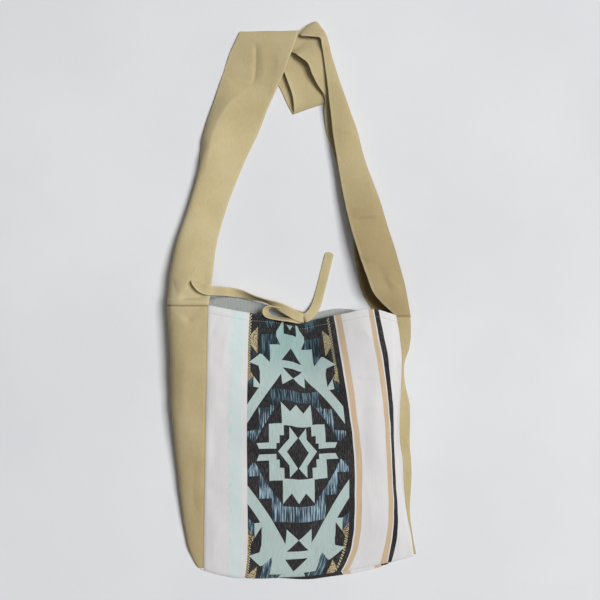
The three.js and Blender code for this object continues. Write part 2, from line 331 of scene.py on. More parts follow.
class MaterialGraph(NodeGraph):
    """A cloth material's node tree."""

    BAND_WOBBLE = {"Distortion": 0.6, "Detail": 1.0, "Detail Scale": 0.2}
    FUZZ = {"Specular IOR Level": 0.2, "Sheen Roughness": 0.6}
    RELIEF = 0.55
    MIX_SHARE, MIX_A, MIX_B, MIX_OUT = 0, 6, 7, 2

    def __init__(self, name: str) -> None:
        """Starts an empty material of that name.

        Args:
            name: The material's name.
        """
        self.material = bpy.data.materials.new(name)
        self.material.use_nodes = True
        super().__init__(self.material.node_tree)

    def place(self, source: str, scale: Rgb = (1, 1, 1)) -> Socket:
        """Gives texture coordinates times a scale.

        Args:
            source: Name of the coordinate output, UV or Object.
            scale: Scale on each axis.

        Returns:
            The scaled coordinates.
        """
        spot = self.add("ShaderNodeTexCoord").outputs[source]
        return self.add("ShaderNodeMapping", {"Vector": spot, "Scale": scale}).outputs["Vector"]

    def noise(self, vector: Socket, scale: float, detail: float) -> Socket:
        """Adds noise of a scale and a number of octaves."""
        inputs = {"Vector": vector, "Scale": scale, "Detail": detail}
        return self.add("ShaderNodeTexNoise", inputs).outputs["Fac"]

    def bands(self, vector: Socket, axis: str, pitch: float) -> Socket:
        """Adds even bands, as the threads of a weave.

        Args:
            vector: Where the bands are read, in metres.
            axis: X or Y.
            pitch: Distance from band to band in metres.

        Returns:
            The band value.
        """
        inputs = {"Vector": vector, "Scale": math.pi / (10 * pitch), **self.BAND_WOBBLE}
        node = self.add("ShaderNodeTexWave", inputs, wave_type="BANDS", bands_direction=axis)
        return node.outputs["Fac"]

    def weave(self, across: float, along: float) -> Socket:
        """Adds crossing threads with these pitches in metres."""
        flat = self.place("UV")
        return self.maths("MULTIPLY", self.bands(flat, "X", across), self.bands(flat, "Y", along))

    def ramp(self, value: Socket, stops: Sequence[tuple[float, Rgb]]) -> Socket:
        """Turns a value into a colour.

        Args:
            value: The value.
            stops: Places from 0 to 1 with their linear colours.

        Returns:
            The colour.
        """
        node = self.add("ShaderNodeValToRGB", {"Fac": value})
        while len(node.color_ramp.elements) < len(stops):
            node.color_ramp.elements.new(0.5)
        for element, (place, colour) in zip(node.color_ramp.elements, stops):
            element.position = place
            element.color = (*colour, 1)
        return node.outputs["Color"]

    def dye(self, value: Socket, spread: float, *colours: Rgb) -> Socket:
        """Turns a value near a half into one of a row of colours.

        Args:
            value: The value.
            spread: How far below and above a half the first and the last colour lie.
            colours: Display colours of 0 to 255.

        Returns:
            The colour.
        """
        places = np.linspace(0.5 - spread, 0.5 + spread, len(colours))
        return self.ramp(value, [(place, linear(*colour)) for place, colour in zip(places, colours)])

    def mix(self, share: Socket | float, a: Socket, b: Socket | Rgb, blend: str = "MIX") -> Socket:
        """Mixes two colours.

        Args:
            share: How much of the second shows.
            a: First colour.
            b: Second colour, a socket or a linear colour.
            blend: How they blend.

        Returns:
            The mixed colour.
        """
        second = (*b, 1) if isinstance(b, tuple) else b
        inputs = {self.MIX_SHARE: share, self.MIX_A: a, self.MIX_B: second}
        return self.add("ShaderNodeMix", inputs, data_type="RGBA", blend_type=blend).outputs[self.MIX_OUT]

    def maths(self, kind: str, a: Socket, b: Socket | float) -> Socket:
        """Joins two values by an operation."""
        return self.add("ShaderNodeMath", {0: a, 1: b}, operation=kind).outputs[0]

    def fitted(self, value: Socket, times: float, plus: float) -> Socket:
        """Gives a value times one number plus another."""
        return self.maths("ADD", self.maths("MULTIPLY", value, times), plus)

    def attribute(self, name: str) -> Socket:
        """Reads a value that the mesh carries."""
        node = self.add("ShaderNodeAttribute", attribute_name=name, attribute_type="GEOMETRY")
        return node.outputs["Fac"]

    def cloth(self, colour: Socket, height: Socket, depth: float, rough: Socket, sheen: float) -> Material:
        """Ends the tree in a cloth shader.

        Args:
            colour: The cloth's colour.
            height: Height of the weave.
            depth: Depth of the weave in metres.
            rough: The cloth's roughness.
            sheen: Weight of the fuzz.

        Returns:
            The material.
        """
        bump = self.add("ShaderNodeBump", {"Strength": self.RELIEF, "Distance": depth, "Height": height})
        looks = {"Base Color": colour, "Roughness": rough, "Normal": bump.outputs["Normal"]}
        shader = self.add("ShaderNodeBsdfPrincipled", {**looks, "Sheen Weight": sheen, **self.FUZZ})
        self.add("ShaderNodeOutputMaterial", {"Surface": shader.outputs["BSDF"]})
        return self.material


@dataclass(frozen=True)
class CanvasFinish:
    """Washed khaki canvas: plain weave, mottled dye, paler worn edges, and a darker colour where the
    mesh's tone asks, partly painted shade.
    """

    name: str = "khaki_canvas"
    deep: Rgb = (188, 170, 127)
    main: Rgb = (199, 183, 140)
    pale: Rgb = (209, 195, 153)
    worn: Rgb = (212, 199, 160)
    aged: Rgb = (138, 113, 68)
    spread: float = 0.18
    mottling: float = 16.0
    slub: Rgb = (900, 120, 1)
    slub_share: float = 0.35
    pitches: tuple[float, float] = (0.0009, 0.00099)
    thread_show: float = 0.22
    rubbing: float = 120.0
    fuzz: float = 260.0
    fuzz_height: float = 1.4
    depth: float = 0.0004
    rough: tuple[float, float] = (0.12, 0.82)
    sheen: float = 0.12

    def make(self) -> Material:
        """Builds the material.

        Returns:
            The material.
        """
        graph = MaterialGraph(self.name)
        place = graph.place("Object")
        slub = graph.noise(graph.place("UV", self.slub), 1, 2)
        grain = graph.mix(self.slub_share, graph.noise(place, self.mottling, 4), slub)
        dyed = graph.dye(grain, self.spread, self.deep, self.main, self.pale)
        # The tone darkens the canvas: over spans of the strap and gussets, and as painted shade in the
        # roll, along the seams and in the knot.
        dyed = graph.mix(graph.attribute("tone"), dyed, linear(*self.aged))
        weave = graph.weave(*self.pitches)
        shown = graph.maths("MULTIPLY", weave, self.thread_show)
        threads = graph.mix(shown, dyed, linear(*self.pale))
        rubbed = graph.maths("MULTIPLY", graph.attribute("wear"), graph.noise(place, self.rubbing, 3))
        colour = graph.mix(rubbed, threads, linear(*self.worn))
        fuzz = graph.maths("MULTIPLY", graph.noise(place, self.fuzz, 4), self.fuzz_height)
        height = graph.maths("ADD", weave, fuzz)
        return graph.cloth(colour, height, self.depth, graph.fitted(grain, *self.rough), self.sheen)


@dataclass(frozen=True)
class YarnFinish:
    """One yarn of the woven panels: warp streaks over its colour, with ribbed weft."""

    name: str
    low: Rgb
    main: Rgb
    high: Rgb
    spread: float = 0.2
    across: float = 620.0
    along: float = 26.0
    odd: Rgb | None = None
    handled: Rgb = (0.5, 0.7, 0.72)
    mottling: float = 22.0
    mottling_share: float = 0.25
    odd_stretch: Rgb = (0.8, 0.5, 3)
    odd_stops: tuple[tuple[float, Rgb], ...] = ((0.52, (0, 0, 0)), (0.62, (0.7, 0.7, 0.7)))
    pitches: tuple[float, float] = (0.00088, 0.0011)
    thread_show: float = 0.16
    wear_show: float = 0.25
    depth: float = 0.0004
    rough: tuple[float, float] = (0.1, 0.84)
    sheen: float = 0.1

    def make(self) -> Material:
        """Builds the material.

        Returns:
            The material.
        """
        graph = MaterialGraph(self.name)
        high = linear(*self.high)
        streak = graph.noise(graph.place("UV", (self.across, self.along, 1)), 1, 3)
        broad = graph.noise(graph.place("Object"), self.mottling, 3)
        grain = graph.mix(self.mottling_share, streak, broad)
        dyed = graph.dye(grain, self.spread, self.low, self.main, self.high)
        if self.odd is not None:
            wide, tall, deep = self.odd_stretch
            strands = graph.noise(graph.place("UV", (self.across * wide, self.along * tall, deep)), 1, 2)
            dyed = graph.mix(graph.ramp(strands, self.odd_stops), dyed, linear(*self.odd))
        weave = graph.weave(*self.pitches)
        threads = graph.mix(graph.maths("MULTIPLY", weave, self.thread_show), dyed, high)
        rubbed = graph.maths("MULTIPLY", graph.attribute("wear"), self.wear_show)
        colour = graph.mix(rubbed, threads, high)
        # Painted shade: the tone darkens the yarn towards this tint, round the knot on the front panel.
        colour = graph.mix(graph.attribute("tone"), colour, self.handled, "MULTIPLY")
        height = graph.maths("ADD", weave, streak)
        return graph.cloth(colour, height, self.depth, graph.fitted(streak, *self.rough), self.sheen)


class Yarn(Enum):
    """The yarns of the woven cloth, in the order of its material slots."""

    GROUND = 0
    PALE_MINT = 1
    CHARCOAL = 2
    MINT = 3
    BLUE = 4
    TAN = 5
    FLECK = 6
    REVERSE = 7
    FAINT_MINT = 8
    DIM_BLUE = 9
    EDGE = 10


YARN_DYES: dict[Yarn, tuple[object, ...]] = {
    Yarn.GROUND: ((219, 218, 218), (225, 223, 223), (230, 229, 228), 0.34),
    Yarn.PALE_MINT: ((221, 225, 224), (212, 226, 224), (203, 226, 222), 0.24, 260, 60),
    Yarn.CHARCOAL: ((20, 20, 22), (37, 37, 39), (78, 80, 82), 0.17, 680, 130, (60, 44, 41)),
    Yarn.MINT: ((166, 188, 183), (183, 201, 197), (195, 212, 208), 0.24, 620, 60),
    Yarn.BLUE: ((20, 25, 33), (56, 75, 90), (168, 196, 209), 0.1, 640, 38),
    Yarn.TAN: ((200, 174, 143), (209, 183, 152), (217, 193, 164), 0.3),
    Yarn.FLECK: ((44, 40, 36), (170, 151, 116), (204, 187, 148), 0.07, 520, 520),
    # Painted shade: the reverse's grey stands in for the shade inside the mouth.
    Yarn.REVERSE: ((148, 152, 151), (165, 169, 167), (182, 185, 183), 0.24, 420, 40),
    Yarn.FAINT_MINT: ((224, 224, 224), (219, 225, 224), (196, 223, 218), 0.13, 330, 110),
    Yarn.DIM_BLUE: ((16, 19, 25), (30, 40, 49), (106, 132, 145), 0.11, 640, 38),
    Yarn.EDGE: ((178, 163, 122), (206, 193, 150), (224, 213, 176), 0.3, 700, 300),
}
YARN_FINISHES = [YarnFinish(f"woven_{yarn.name.lower()}", *YARN_DYES[yarn]) for yarn in Yarn]


@dataclass(frozen=True)
class ThreadFinish:
    """Sewing thread with a slight twist."""

    name: str = "sewing_thread"
    low: Rgb = (150, 146, 142)
    high: Rgb = (196, 191, 186)
    spread: float = 0.2
    grain: float = 900.0
    twist: float = 0.0006
    depth: float = 0.0002
    rough: tuple[float, float] = (0.1, 0.6)
    sheen: float = 0.05

    def make(self) -> Material:
        """Builds the material.

        Returns:
            The material.
        """
        graph = MaterialGraph(self.name)
        place = graph.place("Object")
        twist = graph.bands(place, "X", self.twist)
        colour = graph.dye(graph.noise(place, self.grain, 2), self.spread, self.low, self.high)
        return graph.cloth(colour, twist, self.depth, graph.fitted(twist, *self.rough), self.sheen)


@dataclass(frozen=True)
class FloorFinish:
    """A plain pale floor."""

    name: str = "pale_floor"
    low: Rgb = (222, 223, 226)
    high: Rgb = (230, 231, 233)
    spread: float = 0.2
    mottling: float = 3.0
    grain: float = 400.0
    depth: float = 0.0002
    rough: tuple[float, float] = (0.1, 0.85)

    def make(self) -> Material:
        """Builds the material.

        Returns:
            The material.
        """
        graph = MaterialGraph(self.name)
        place = graph.place("Object")
        broad = graph.noise(place, self.mottling, 4)
        colour = graph.dye(broad, self.spread, self.low, self.high)
        height = graph.noise(place, self.grain, 2)
        return graph.cloth(colour, height, self.depth, graph.fitted(broad, *self.rough), 0.0)


@dataclass
class FinishShelf:
    """Makes each material once and hands it out again."""

    made: dict[str, Material] = field(default_factory=dict)

    def take(self, finish: CanvasFinish | YarnFinish | ThreadFinish | FloorFinish) -> Material:
        """Gives a finish's material.

        Args:
            finish: The finish.

        Returns:
            Its material, made at the first call.
        """
        if finish.name not in self.made:
            self.made[finish.name] = finish.make()
        return self.made[finish.name]

    def canvas(self) -> list[Material]:
        """Gives the canvas's only material."""
        return [self.take(CanvasFinish())]

    def yarns(self) -> list[Material]:
        """Gives the woven cloth's materials in slot order."""
        return [self.take(finish) for finish in YARN_FINISHES]


@dataclass
class ClothSheet:
    """A cloth's middle surface, which becomes a closed mesh with rounded edges."""

    points: Array
    faces: Array
    loop: Array
    flat: Array
    thickness: Array
    upper_slots: Array | int = 0
    lower_slots: Array | int = 0
    edge_slots: Array | int = 0
    free: Array | None = None
    tone: Array | float = 0.0
    wear_reach: float = 4.0
    rim_rows: int = 3

    CHUNK = 64
    WEAR_BEND = 1.5

    @staticmethod
    def grid(points: Array, thickness: float | Array, **more: object) -> "ClothSheet":
        """Makes a sheet from a grid of points.

        Args:
            points: Grid of points in millimetres, rows along the first axis.
            thickness: The cloth's thickness in millimetres.
            more: Other fields of the sheet.

        Returns:
            The sheet.
        """
        rows, cols = points.shape[:2]
        index = np.arange(rows * cols).reshape(rows, cols)
        quads = [index[:-1, :-1], index[1:, :-1], index[1:, 1:], index[:-1, 1:]]
        faces = np.stack([q.ravel() for q in quads], -1)
        sides = [index[:-1, 0], index[-1, :-1], index[:0:-1, -1], index[0, :0:-1]]
        along = np.linalg.norm(np.diff(points, axis=0), axis=2)
        across = np.linalg.norm(np.diff(points, axis=1), axis=2)
        v = np.vstack([np.zeros(cols), np.cumsum(along, axis=0)]).mean(1)
        u = np.hstack([np.zeros((rows, 1)), np.cumsum(across, axis=1)])
        u = u - u[:, -1:] / 2
        flat = np.stack([u, np.broadcast_to(v[:, None], (rows, cols))], -1).reshape(-1, 2)
        depth = np.broadcast_to(np.asarray(thickness, float), (rows, cols)).ravel()
        return ClothSheet(points.reshape(-1, 3), faces, np.concatenate(sides), flat, depth, **more)

    def normals(self) -> Array:
        """Gives the unit normal at each point.

        Returns:
            One vector for each point.
        """
        corner = self.points[self.faces]
        middle = corner.shape[1] // 2
        facing = np.cross(corner[:, middle] - corner[:, 0], corner[:, -1] - corner[:, middle - 1])
        total = np.zeros_like(self.points)
        for k in range(corner.shape[1]):
            np.add.at(total, self.faces[:, k], facing)
        return normalised(total)

    def outward(self, normals: Array) -> Array:
        """Gives the direction out of the cloth at each edge point.

        Args:
            normals: The unit normal at each point.

        Returns:
            One vector for each edge point.
        """
        edge = self.points[self.loop]
        way = np.roll(edge, -1, axis=0) - np.roll(edge, 1, axis=0)
        return normalised(np.cross(way, normals[self.loop]))

    def wear(self) -> Array:
        """Gives 1 at the cloth's free edges, falling to 0 inside.

        Returns:
            One share for each point.
        """
        edge = self.flat[self.loop if self.free is None else self.loop[self.free]]
        nearest = np.full(len(self.flat), FAR)
        for first in range(0, len(edge), self.CHUNK):
            part = edge[first:first + self.CHUNK]
            gap = np.linalg.norm(self.flat[:, None, :] - part[None], axis=2)
            nearest = np.minimum(nearest, gap.min(1))
        return np.clip(1 - nearest / self.wear_reach, 0, 1) ** self.WEAR_BEND

    def spread(self, values: Array) -> Array:
        """Repeats values of the middle surface for both of its faces and the rim."""
        return np.concatenate([values, values] + [values[self.loop]] * self.rim_rows)

    def shell(self) -> tuple[Array, list[list[int]]]:
        """Closes the cloth round its middle surface, with none of it below the floor.

        Returns:
            The vertices in metres, and the faces: upper, lower, then the rim's.
        """
        count, rim = len(self.points), len(self.loop)
        normals = self.normals()
        out = self.outward(normals)
        half = self.thickness[:, None] / 2
        layers = [self.points + normals * half, self.points - normals * half]
        rows = [self.loop]
        for row in range(self.rim_rows):
            turn = math.pi * (row + 1) / (self.rim_rows + 1)
            swing = out * math.sin(turn) + normals[self.loop] * math.cos(turn)
            layers.append(self.points[self.loop] + swing * half[self.loop])
            rows.append(2 * count + row * rim + np.arange(rim))
        rows.append(self.loop + count)
        edge = [np.stack([np.roll(a, -1), a, b, np.roll(b, -1)], -1) for a, b in zip(rows, rows[1:])]
        vertices = np.vstack(layers) * MM
        vertices[:, 2] = np.maximum(vertices[:, 2], 0)
        lower = self.faces[:, ::-1] + count
        return vertices, self.faces.tolist() + lower.tolist() + np.vstack(edge).tolist()

    def build(self, name: str, materials: Sequence[Material]) -> Piece:
        """Makes the closed mesh.

        Args:
            name: The piece's name.
            materials: The cloth's materials in slot order.

        Returns:
            The piece, at the origin, with its place in its mesh.
        """
        vertices, faces = self.shell()
        mesh = bpy.data.meshes.new(name)
        mesh.from_pydata(vertices.tolist(), [], faces)
        corners = np.zeros(len(mesh.loops), np.int32)
        mesh.loops.foreach_get("vertex_index", corners)
        flat = (self.spread(self.flat) * MM)[corners]
        mesh.uv_layers.new(name="cloth").data.foreach_set("uv", flat.astype(np.float32).ravel())
        tone = np.broadcast_to(self.tone, len(self.points))
        for label, values in (("wear", self.wear()), ("tone", tone)):
            carried = mesh.attributes.new(label, "FLOAT", "POINT")
            carried.data.foreach_set("value", self.spread(values).astype(np.float32))
        slots = np.concatenate([
            np.broadcast_to(self.upper_slots, len(self.faces)),
            np.broadcast_to(self.lower_slots, len(self.faces)),
            np.tile(np.broadcast_to(self.edge_slots, len(self.loop)), self.rim_rows + 1),
        ])
        for material in materials:
            mesh.materials.append(material)
        mesh.polygons.foreach_set("material_index", slots.astype(np.int32))
        mesh.polygons.foreach_set("use_smooth", np.ones(len(mesh.polygons), bool))
        mesh.update()
        mesh.validate()
        return put(name, mesh)


@dataclass
class FlatCloth:
    """The woven cloth laid flat: its points, its triangles and the loop of its edge points."""

    places: Array
    triangles: Array
    loop: Array

    @property
    def middles(self) -> Array:
        """Gives the middle of each triangle."""
        return self.places[self.triangles].mean(1)


@dataclass(frozen=True)
class WovenPattern:
    """The woven cloth's stripes and stepped motif, in cloth units of 1.5 mm.

    Across the cloth c runs from the left seam to the right one, and along it d runs from the
    motif's middle, up positive. The motif is mirrored about its own two axes.
    """

    unit: float = 1.5
    width: float = 216.0
    low: float = -118.5
    high: float = 139.0
    axis: float = 90.0
    dim_from: float = 47.0
    mouth_band: float = 12.0
    mouth_rows: float = 20.0
    dot_margin: float = 0.3

    STRIPES = (
        (21.5, 26.0, Yarn.FAINT_MINT),
        (26.0, 34.5, Yarn.PALE_MINT),
        (40.0, 148.0, Yarn.CHARCOAL),
        (150.0, 157.0, Yarn.TAN),
        (181.0, 186.5, Yarn.TAN),
        (188.0, 194.0, Yarn.CHARCOAL),
    )
    FIELDS = (
        (Yarn.MINT, ((19.5, 0), (8.8, 13.3), (8.6, 25.4), (0.4, 15.2), (11, 0))),
        (Yarn.MINT, (
            (38.1, 2.9), (21.3, 2.6), (21.3, 8.1), (18.3, 8.1), (18.3, 16.1), (14, 16.1),
            (14, 28.4), (28.5, 28.4), (28.5, 8.8), (40.6, 8.9),
        )),
        (Yarn.MINT, ((0, 26.6), (15.6, 26.6), (15.6, 51.3), (7, 41.3), (0, 50.6))),
        (Yarn.BLUE, (
            (43.3, 9.1), (39.8, 14.6), (35.8, 23.1), (28.3, 35.1), (21.8, 44.1), (15.3, 53.4),
            (0, 53.4), (0, 66.5), (26.3, 66.5), (26.3, 45.6), (38.3, 45.6), (38.3, 23.1),
            (49.8, 23.1), (49.8, 17.6),
        )),
        (Yarn.MINT, (
            (50, 31.3), (13, 84.7), (12.3, 72.5), (0.5, 81), (0, 81.3), (0, 124), (7.5, 124.5),
            (7.5, 136), (10, 136), (11.5, 132.5), (17, 125.5), (17, 121), (12.2, 114),
            (24.8, 113.6), (24.6, 99.5), (25.5, 96), (33.7, 104.3), (36, 105), (48.5, 96.7),
            (38, 92.3), (36.5, 85.9), (36.5, 71.1), (43.3, 80.5), (43.5, 68.7), (37.8, 67.6),
            (50, 50.1),
        )),
        (Yarn.CHARCOAL, ((0, 81.3), (11, 91.4), (0, 91.4))),
        (Yarn.CHARCOAL, ((0, 98.8), (11.5, 98.8), (0, 112))),
        (Yarn.MINT, ((0, 128.5), (3.5, 133.5), (0, 133.5))),
        (Yarn.BLUE, ((50, 64.9), (43.5, 68.7), (43.4, 80.5), (50, 74.8))),
        (Yarn.FLECK, ((50, 74.8), (43.4, 80.5), (48, 88.4), (49.8, 93.9), (50, 93.9))),
        (Yarn.FLECK, ((47.1, 122.8), (39, 129), (39.2, 105.5), (47.1, 114))),
        (Yarn.BLUE, (
            (33.7, 122.8), (17.4, 122.8), (17, 117.5), (12.2, 114), (24.8, 113.6), (24.6, 99.5),
            (25.5, 96), (33.7, 104.3),
        )),
        (Yarn.BLUE, (
            (33, 139), (32.5, 132), (30.5, 129.5), (28.5, 133), (26.5, 128.5), (24, 132.5),
            (22.5, 129), (20.5, 133.5), (19, 131), (18.5, 139),
        )),
    )
    EDGE_COLUMNS = ((-49.9, 76.0, 0.0), (-48.5, 76.0, 1.2), (46.9, 66.0, 0.0), (48.3, 66.0, 1.2))
    DOT = (1.3, 1.15)
    DOT_PITCH = 2.4
    CUT, SAMPLES, CLEARANCE = 1.3, 6, 0.4
    EDGE_NEAR, MERGE_NEAR = 1e-3, 1e-4

    def clipped(self, outline: Array) -> Array:
        """Cuts an outline off at the cloth's ends.

        Args:
            outline: Points of c and d.

        Returns:
            The outline within the cloth.
        """
        for sign, limit in ((1.0, self.high), (-1.0, -self.low)):
            kept: list[Array] = []
            for a, b in zip(outline, np.roll(outline, -1, axis=0)):
                a_in, b_in = sign * a[1] <= limit, sign * b[1] <= limit
                if a_in:
                    kept.append(a)
                if a_in != b_in:
                    share = (sign * limit - a[1]) / (b[1] - a[1])
                    kept.append(np.array([a[0] + (b[0] - a[0]) * share, sign * limit]))
            outline = np.array(kept).reshape(-1, 2)
        return outline

    @staticmethod
    def box(left: float, right: float, low: float, high: float) -> Array:
        """Gives the outline of an upright box."""
        return np.array([(left, low), (right, low), (right, high), (left, high)])

    def dots(self) -> list[Array]:
        """Lists the dots in double columns along the band's edges, towards the cloth's ends.

        Returns:
            The outline of each dot.
        """
        wide, tall = self.DOT
        found: list[Array] = []
        for upper in (True, False):
            for first, start, shift in self.EDGE_COLUMNS:
                bottom, top = (start, self.high) if upper else (self.low, -start)
                lowest, highest = bottom + self.dot_margin + shift, top - tall - self.dot_margin
                for low in np.arange(lowest, highest, self.DOT_PITCH):
                    found.append(self.box(first, first + wide, low, low + tall) + (self.axis, 0))
        return found

    def outlines(self) -> list[tuple[Yarn, Array]]:
        """Lists every field of the cloth in the order they lie over each other.

        Returns:
            The yarn and the outline of each field.
        """
        found = [(yarn, self.box(first, last, self.low, self.high)) for first, last, yarn in self.STRIPES]
        found += [(Yarn.EDGE, dot) for dot in self.dots()]
        for yarn, quarter in self.FIELDS:
            for side, end in ((1, 1), (1, -1), (-1, 1), (-1, -1)):
                outline = self.clipped(np.array(quarter, float) * (side, end) + (self.axis, 0))
                if len(outline) > 2:
                    found.append((yarn, outline))
        return found

    def stripes_at(self, c: Array) -> Array:
        """Gives the slot of the stripe at each distance across the cloth.

        Args:
            c: Distances across the cloth.

        Returns:
            Material slots.
        """
        slots = np.full(len(c), Yarn.GROUND.value)
        for first, last, yarn in self.STRIPES:
            slots[(c > first) & (c < last)] = yarn.value
        return slots

    @staticmethod
    def inside(outline: Array, places: Array) -> Array:
        """Tells which places lie inside an outline.

        Args:
            outline: Points of c and d.
            places: Places to test.

        Returns:
            True for each place inside.
        """
        hit = np.zeros(len(places), bool)
        for a, b in zip(outline, np.roll(outline, -1, axis=0)):
            if a[1] == b[1]:
                continue
            crossing = (a[1] > places[:, 1]) != (b[1] > places[:, 1])
            reach = a[0] + (places[:, 1] - a[1]) * (b[0] - a[0]) / (b[1] - a[1])
            hit ^= crossing & (places[:, 0] < reach)
        return hit

    def yarns_at(self, places: Array) -> Array:
        """Gives the yarn's slot at each place.

        Args:
            places: Places of c and d.

        Returns:
            Material slots.
        """
        slots = np.full(len(places), Yarn.GROUND.value)
        for yarn, outline in self.outlines():
            slots[self.inside(outline, places)] = yarn.value
        slots[(slots == Yarn.BLUE.value) & (places[:, 1] > self.dim_from)] = Yarn.DIM_BLUE.value
        return slots

    def mesh(self, step: float) -> FlatCloth:
        """Cuts the flat cloth into triangles along its fields.

        Args:
            step: Distance between the grid's points in cloth units.

        Returns:
            The cloth in triangles.
        """
        band = self.high - self.mouth_band
        columns = np.linspace(0, self.width, round(self.width / step) + 1)
        rows = np.linspace(self.low, band, round((band - self.low) / step) + 1)
        rows = np.concatenate([rows, np.linspace(band, self.high, round(self.mouth_rows / step) + 1)[1:]])
        keep = np.ones((len(columns), len(rows)), bool)
        points: list[Array] = []
        edges: list[tuple[int, int]] = []
        for _, outline in self.outlines():
            first = len(points)
            for a, b in zip(outline, np.roll(outline, -1, axis=0)):
                cuts = max(1, math.ceil(float(np.linalg.norm(b - a)) / (step * self.CUT)))
                points += [a + (b - a) * k / cuts for k in range(cuts)]
                for share in np.linspace(0, 1, cuts * self.SAMPLES):
                    spot = a + (b - a) * share
                    i = int(np.abs(columns - spot[0]).argmin())
                    j = int(np.abs(rows - spot[1]).argmin())
                    if math.hypot(columns[i] - spot[0], rows[j] - spot[1]) < step * self.CLEARANCE:
                        keep[i, j] = False
            total = len(points)
            edges += [(k, k + 1 if k + 1 < total else first) for k in range(first, total)]
        keep[np.ix_((0, -1), (0, -1))] = True
        grid = np.stack(np.meshgrid(columns, rows, indexing="ij"), -1)[keep]
        spots = np.vstack([np.array(points), grid])
        made = delaunay_2d_cdt(spots.tolist(), edges, [], 0, self.MERGE_NEAR, False)
        places = np.array([tuple(p) for p in made[0]])
        return FlatCloth(places, np.array(made[2], int), self.edge_loop(places))

    def edge_loop(self, places: Array) -> Array:
        """Orders the points on the cloth's four edges, turning left.

        Args:
            places: Places of all points.

        Returns:
            Indices of the edge points in order.
        """
        c, d = places[:, 0], places[:, 1]
        near = self.EDGE_NEAR
        bottom, top = d < self.low + near, d > self.high - near
        left, right = c < near, c > self.width - near
        loop: list[Array] = []
        for on_edge, way in ((bottom, c), (right, d), (top, -c), (left, -d)):
            run = np.where(on_edge)[0]
            loop.append(run[np.argsort(way[run])][:-1])
        return np.concatenate(loop)


@dataclass(frozen=True)
class PatternPlace:
    """Where the woven cloth's stripes and rows lie on the front panel, as shares of it.

    Each row of SHARES starts with a share up the panel and each row of ROWS with a place along
    the cloth. ROWS gives the heights at the band's left edge, middle and right edge.
    """

    axis: float = 90.0
    half_band: float = 50.0

    LINES = (0, 40, 90, 140, 148, 157, 181, 186.5, 194, 216)
    SHARES = (
        (0.00, 0, 0.1945, 0.4170, 0.6290, 0.6520, 0.6850, 0.8380, 0.8700, 0.8920, 1),
        (0.05, 0, 0.2040, 0.4360, 0.6620, 0.6870, 0.7212, 0.8575, 0.8850, 0.9130, 1),
        (0.12, 0, 0.2105, 0.4555, 0.6935, 0.7185, 0.7530, 0.8845, 0.9085, 0.9370, 1),
        (0.20, 0, 0.2137, 0.4680, 0.7135, 0.7395, 0.7750, 0.9070, 0.9305, 0.9535, 1),
        (0.30, 0, 0.2132, 0.4715, 0.7215, 0.7490, 0.7850, 0.9155, 0.9380, 0.9570, 1),
        (0.40, 0, 0.2116, 0.4715, 0.7217, 0.7520, 0.7900, 0.9135, 0.9360, 0.9550, 1),
        (0.50, 0, 0.2108, 0.4730, 0.7200, 0.7530, 0.7900, 0.9180, 0.9405, 0.9600, 1),
        (0.60, 0, 0.2088, 0.4690, 0.7075, 0.7355, 0.7710, 0.9095, 0.9320, 0.9580, 1),
        (0.70, 0, 0.2060, 0.4525, 0.6855, 0.7130, 0.7515, 0.8885, 0.9145, 0.9415, 1),
        (0.80, 0, 0.2050, 0.4330, 0.6635, 0.6900, 0.7290, 0.8675, 0.8930, 0.9250, 1),
        (0.90, 0, 0.2062, 0.4245, 0.6490, 0.6754, 0.7147, 0.8520, 0.8770, 0.9110, 1),
        (1.00, 0, 0.2140, 0.4250, 0.6410, 0.6670, 0.7060, 0.8490, 0.8740, 0.9040, 1),
    )
    ROWS = (
        (-118.5, 0, 0, 0),
        (-112, 0.0240, 0.0227, 0.0300),
        (-95, 0.0958, 0.0900, 0.1085),
        (-81, 0.1620, 0.1511, 0.1680),
        (-72, 0.2060, 0.1950, 0.2070),
        (-50, 0.2920, 0.2990, 0.2920),
        (-30, 0.3670, 0.3800, 0.3665),
        (-15, 0.4270, 0.4386, 0.4220),
        (0, 0.4854, 0.4975, 0.4772),
        (15, 0.5375, 0.5565, 0.5270),
        (30, 0.5885, 0.6115, 0.5765),
        (50, 0.6620, 0.6815, 0.6490),
        (81, 0.7690, 0.7765, 0.7590),
        (96, 0.8166, 0.8310, 0.8105),
        (112, 0.8760, 0.8924, 0.8760),
        (124, 0.9280, 0.9427, 0.9290),
        (139, 1, 1, 1),
    )

    def at(self, places: Array) -> tuple[Array, Array]:
        """Gives the panel shares of places on the cloth.

        Args:
            places: Places of c and d.

        Returns:
            Shares across and shares up the panel.
        """
        c, d = places[:, 0], places[:, 1]
        rows = curve_through(self.ROWS)(d)
        lean = np.clip((c - self.axis) / self.half_band, -1, 1)
        mean = (rows[:, 2] + rows[:, 0]) / 2 - rows[:, 1]
        v = np.clip(rows[:, 1] + lean * (rows[:, 2] - rows[:, 0]) / 2 + lean**2 * mean, 0, 1)
        shares = curve_through(self.SHARES)(v)
        u = np.zeros(len(c))
        for k in range(len(self.LINES) - 1):
            start, end = self.LINES[k], self.LINES[k + 1]
            here = (c >= start) & (c <= end)
            share = (c[here] - start) / (end - start)
            u[here] = shares[here, k] * (1 - share) + shares[here, k + 1] * share
        return u, v


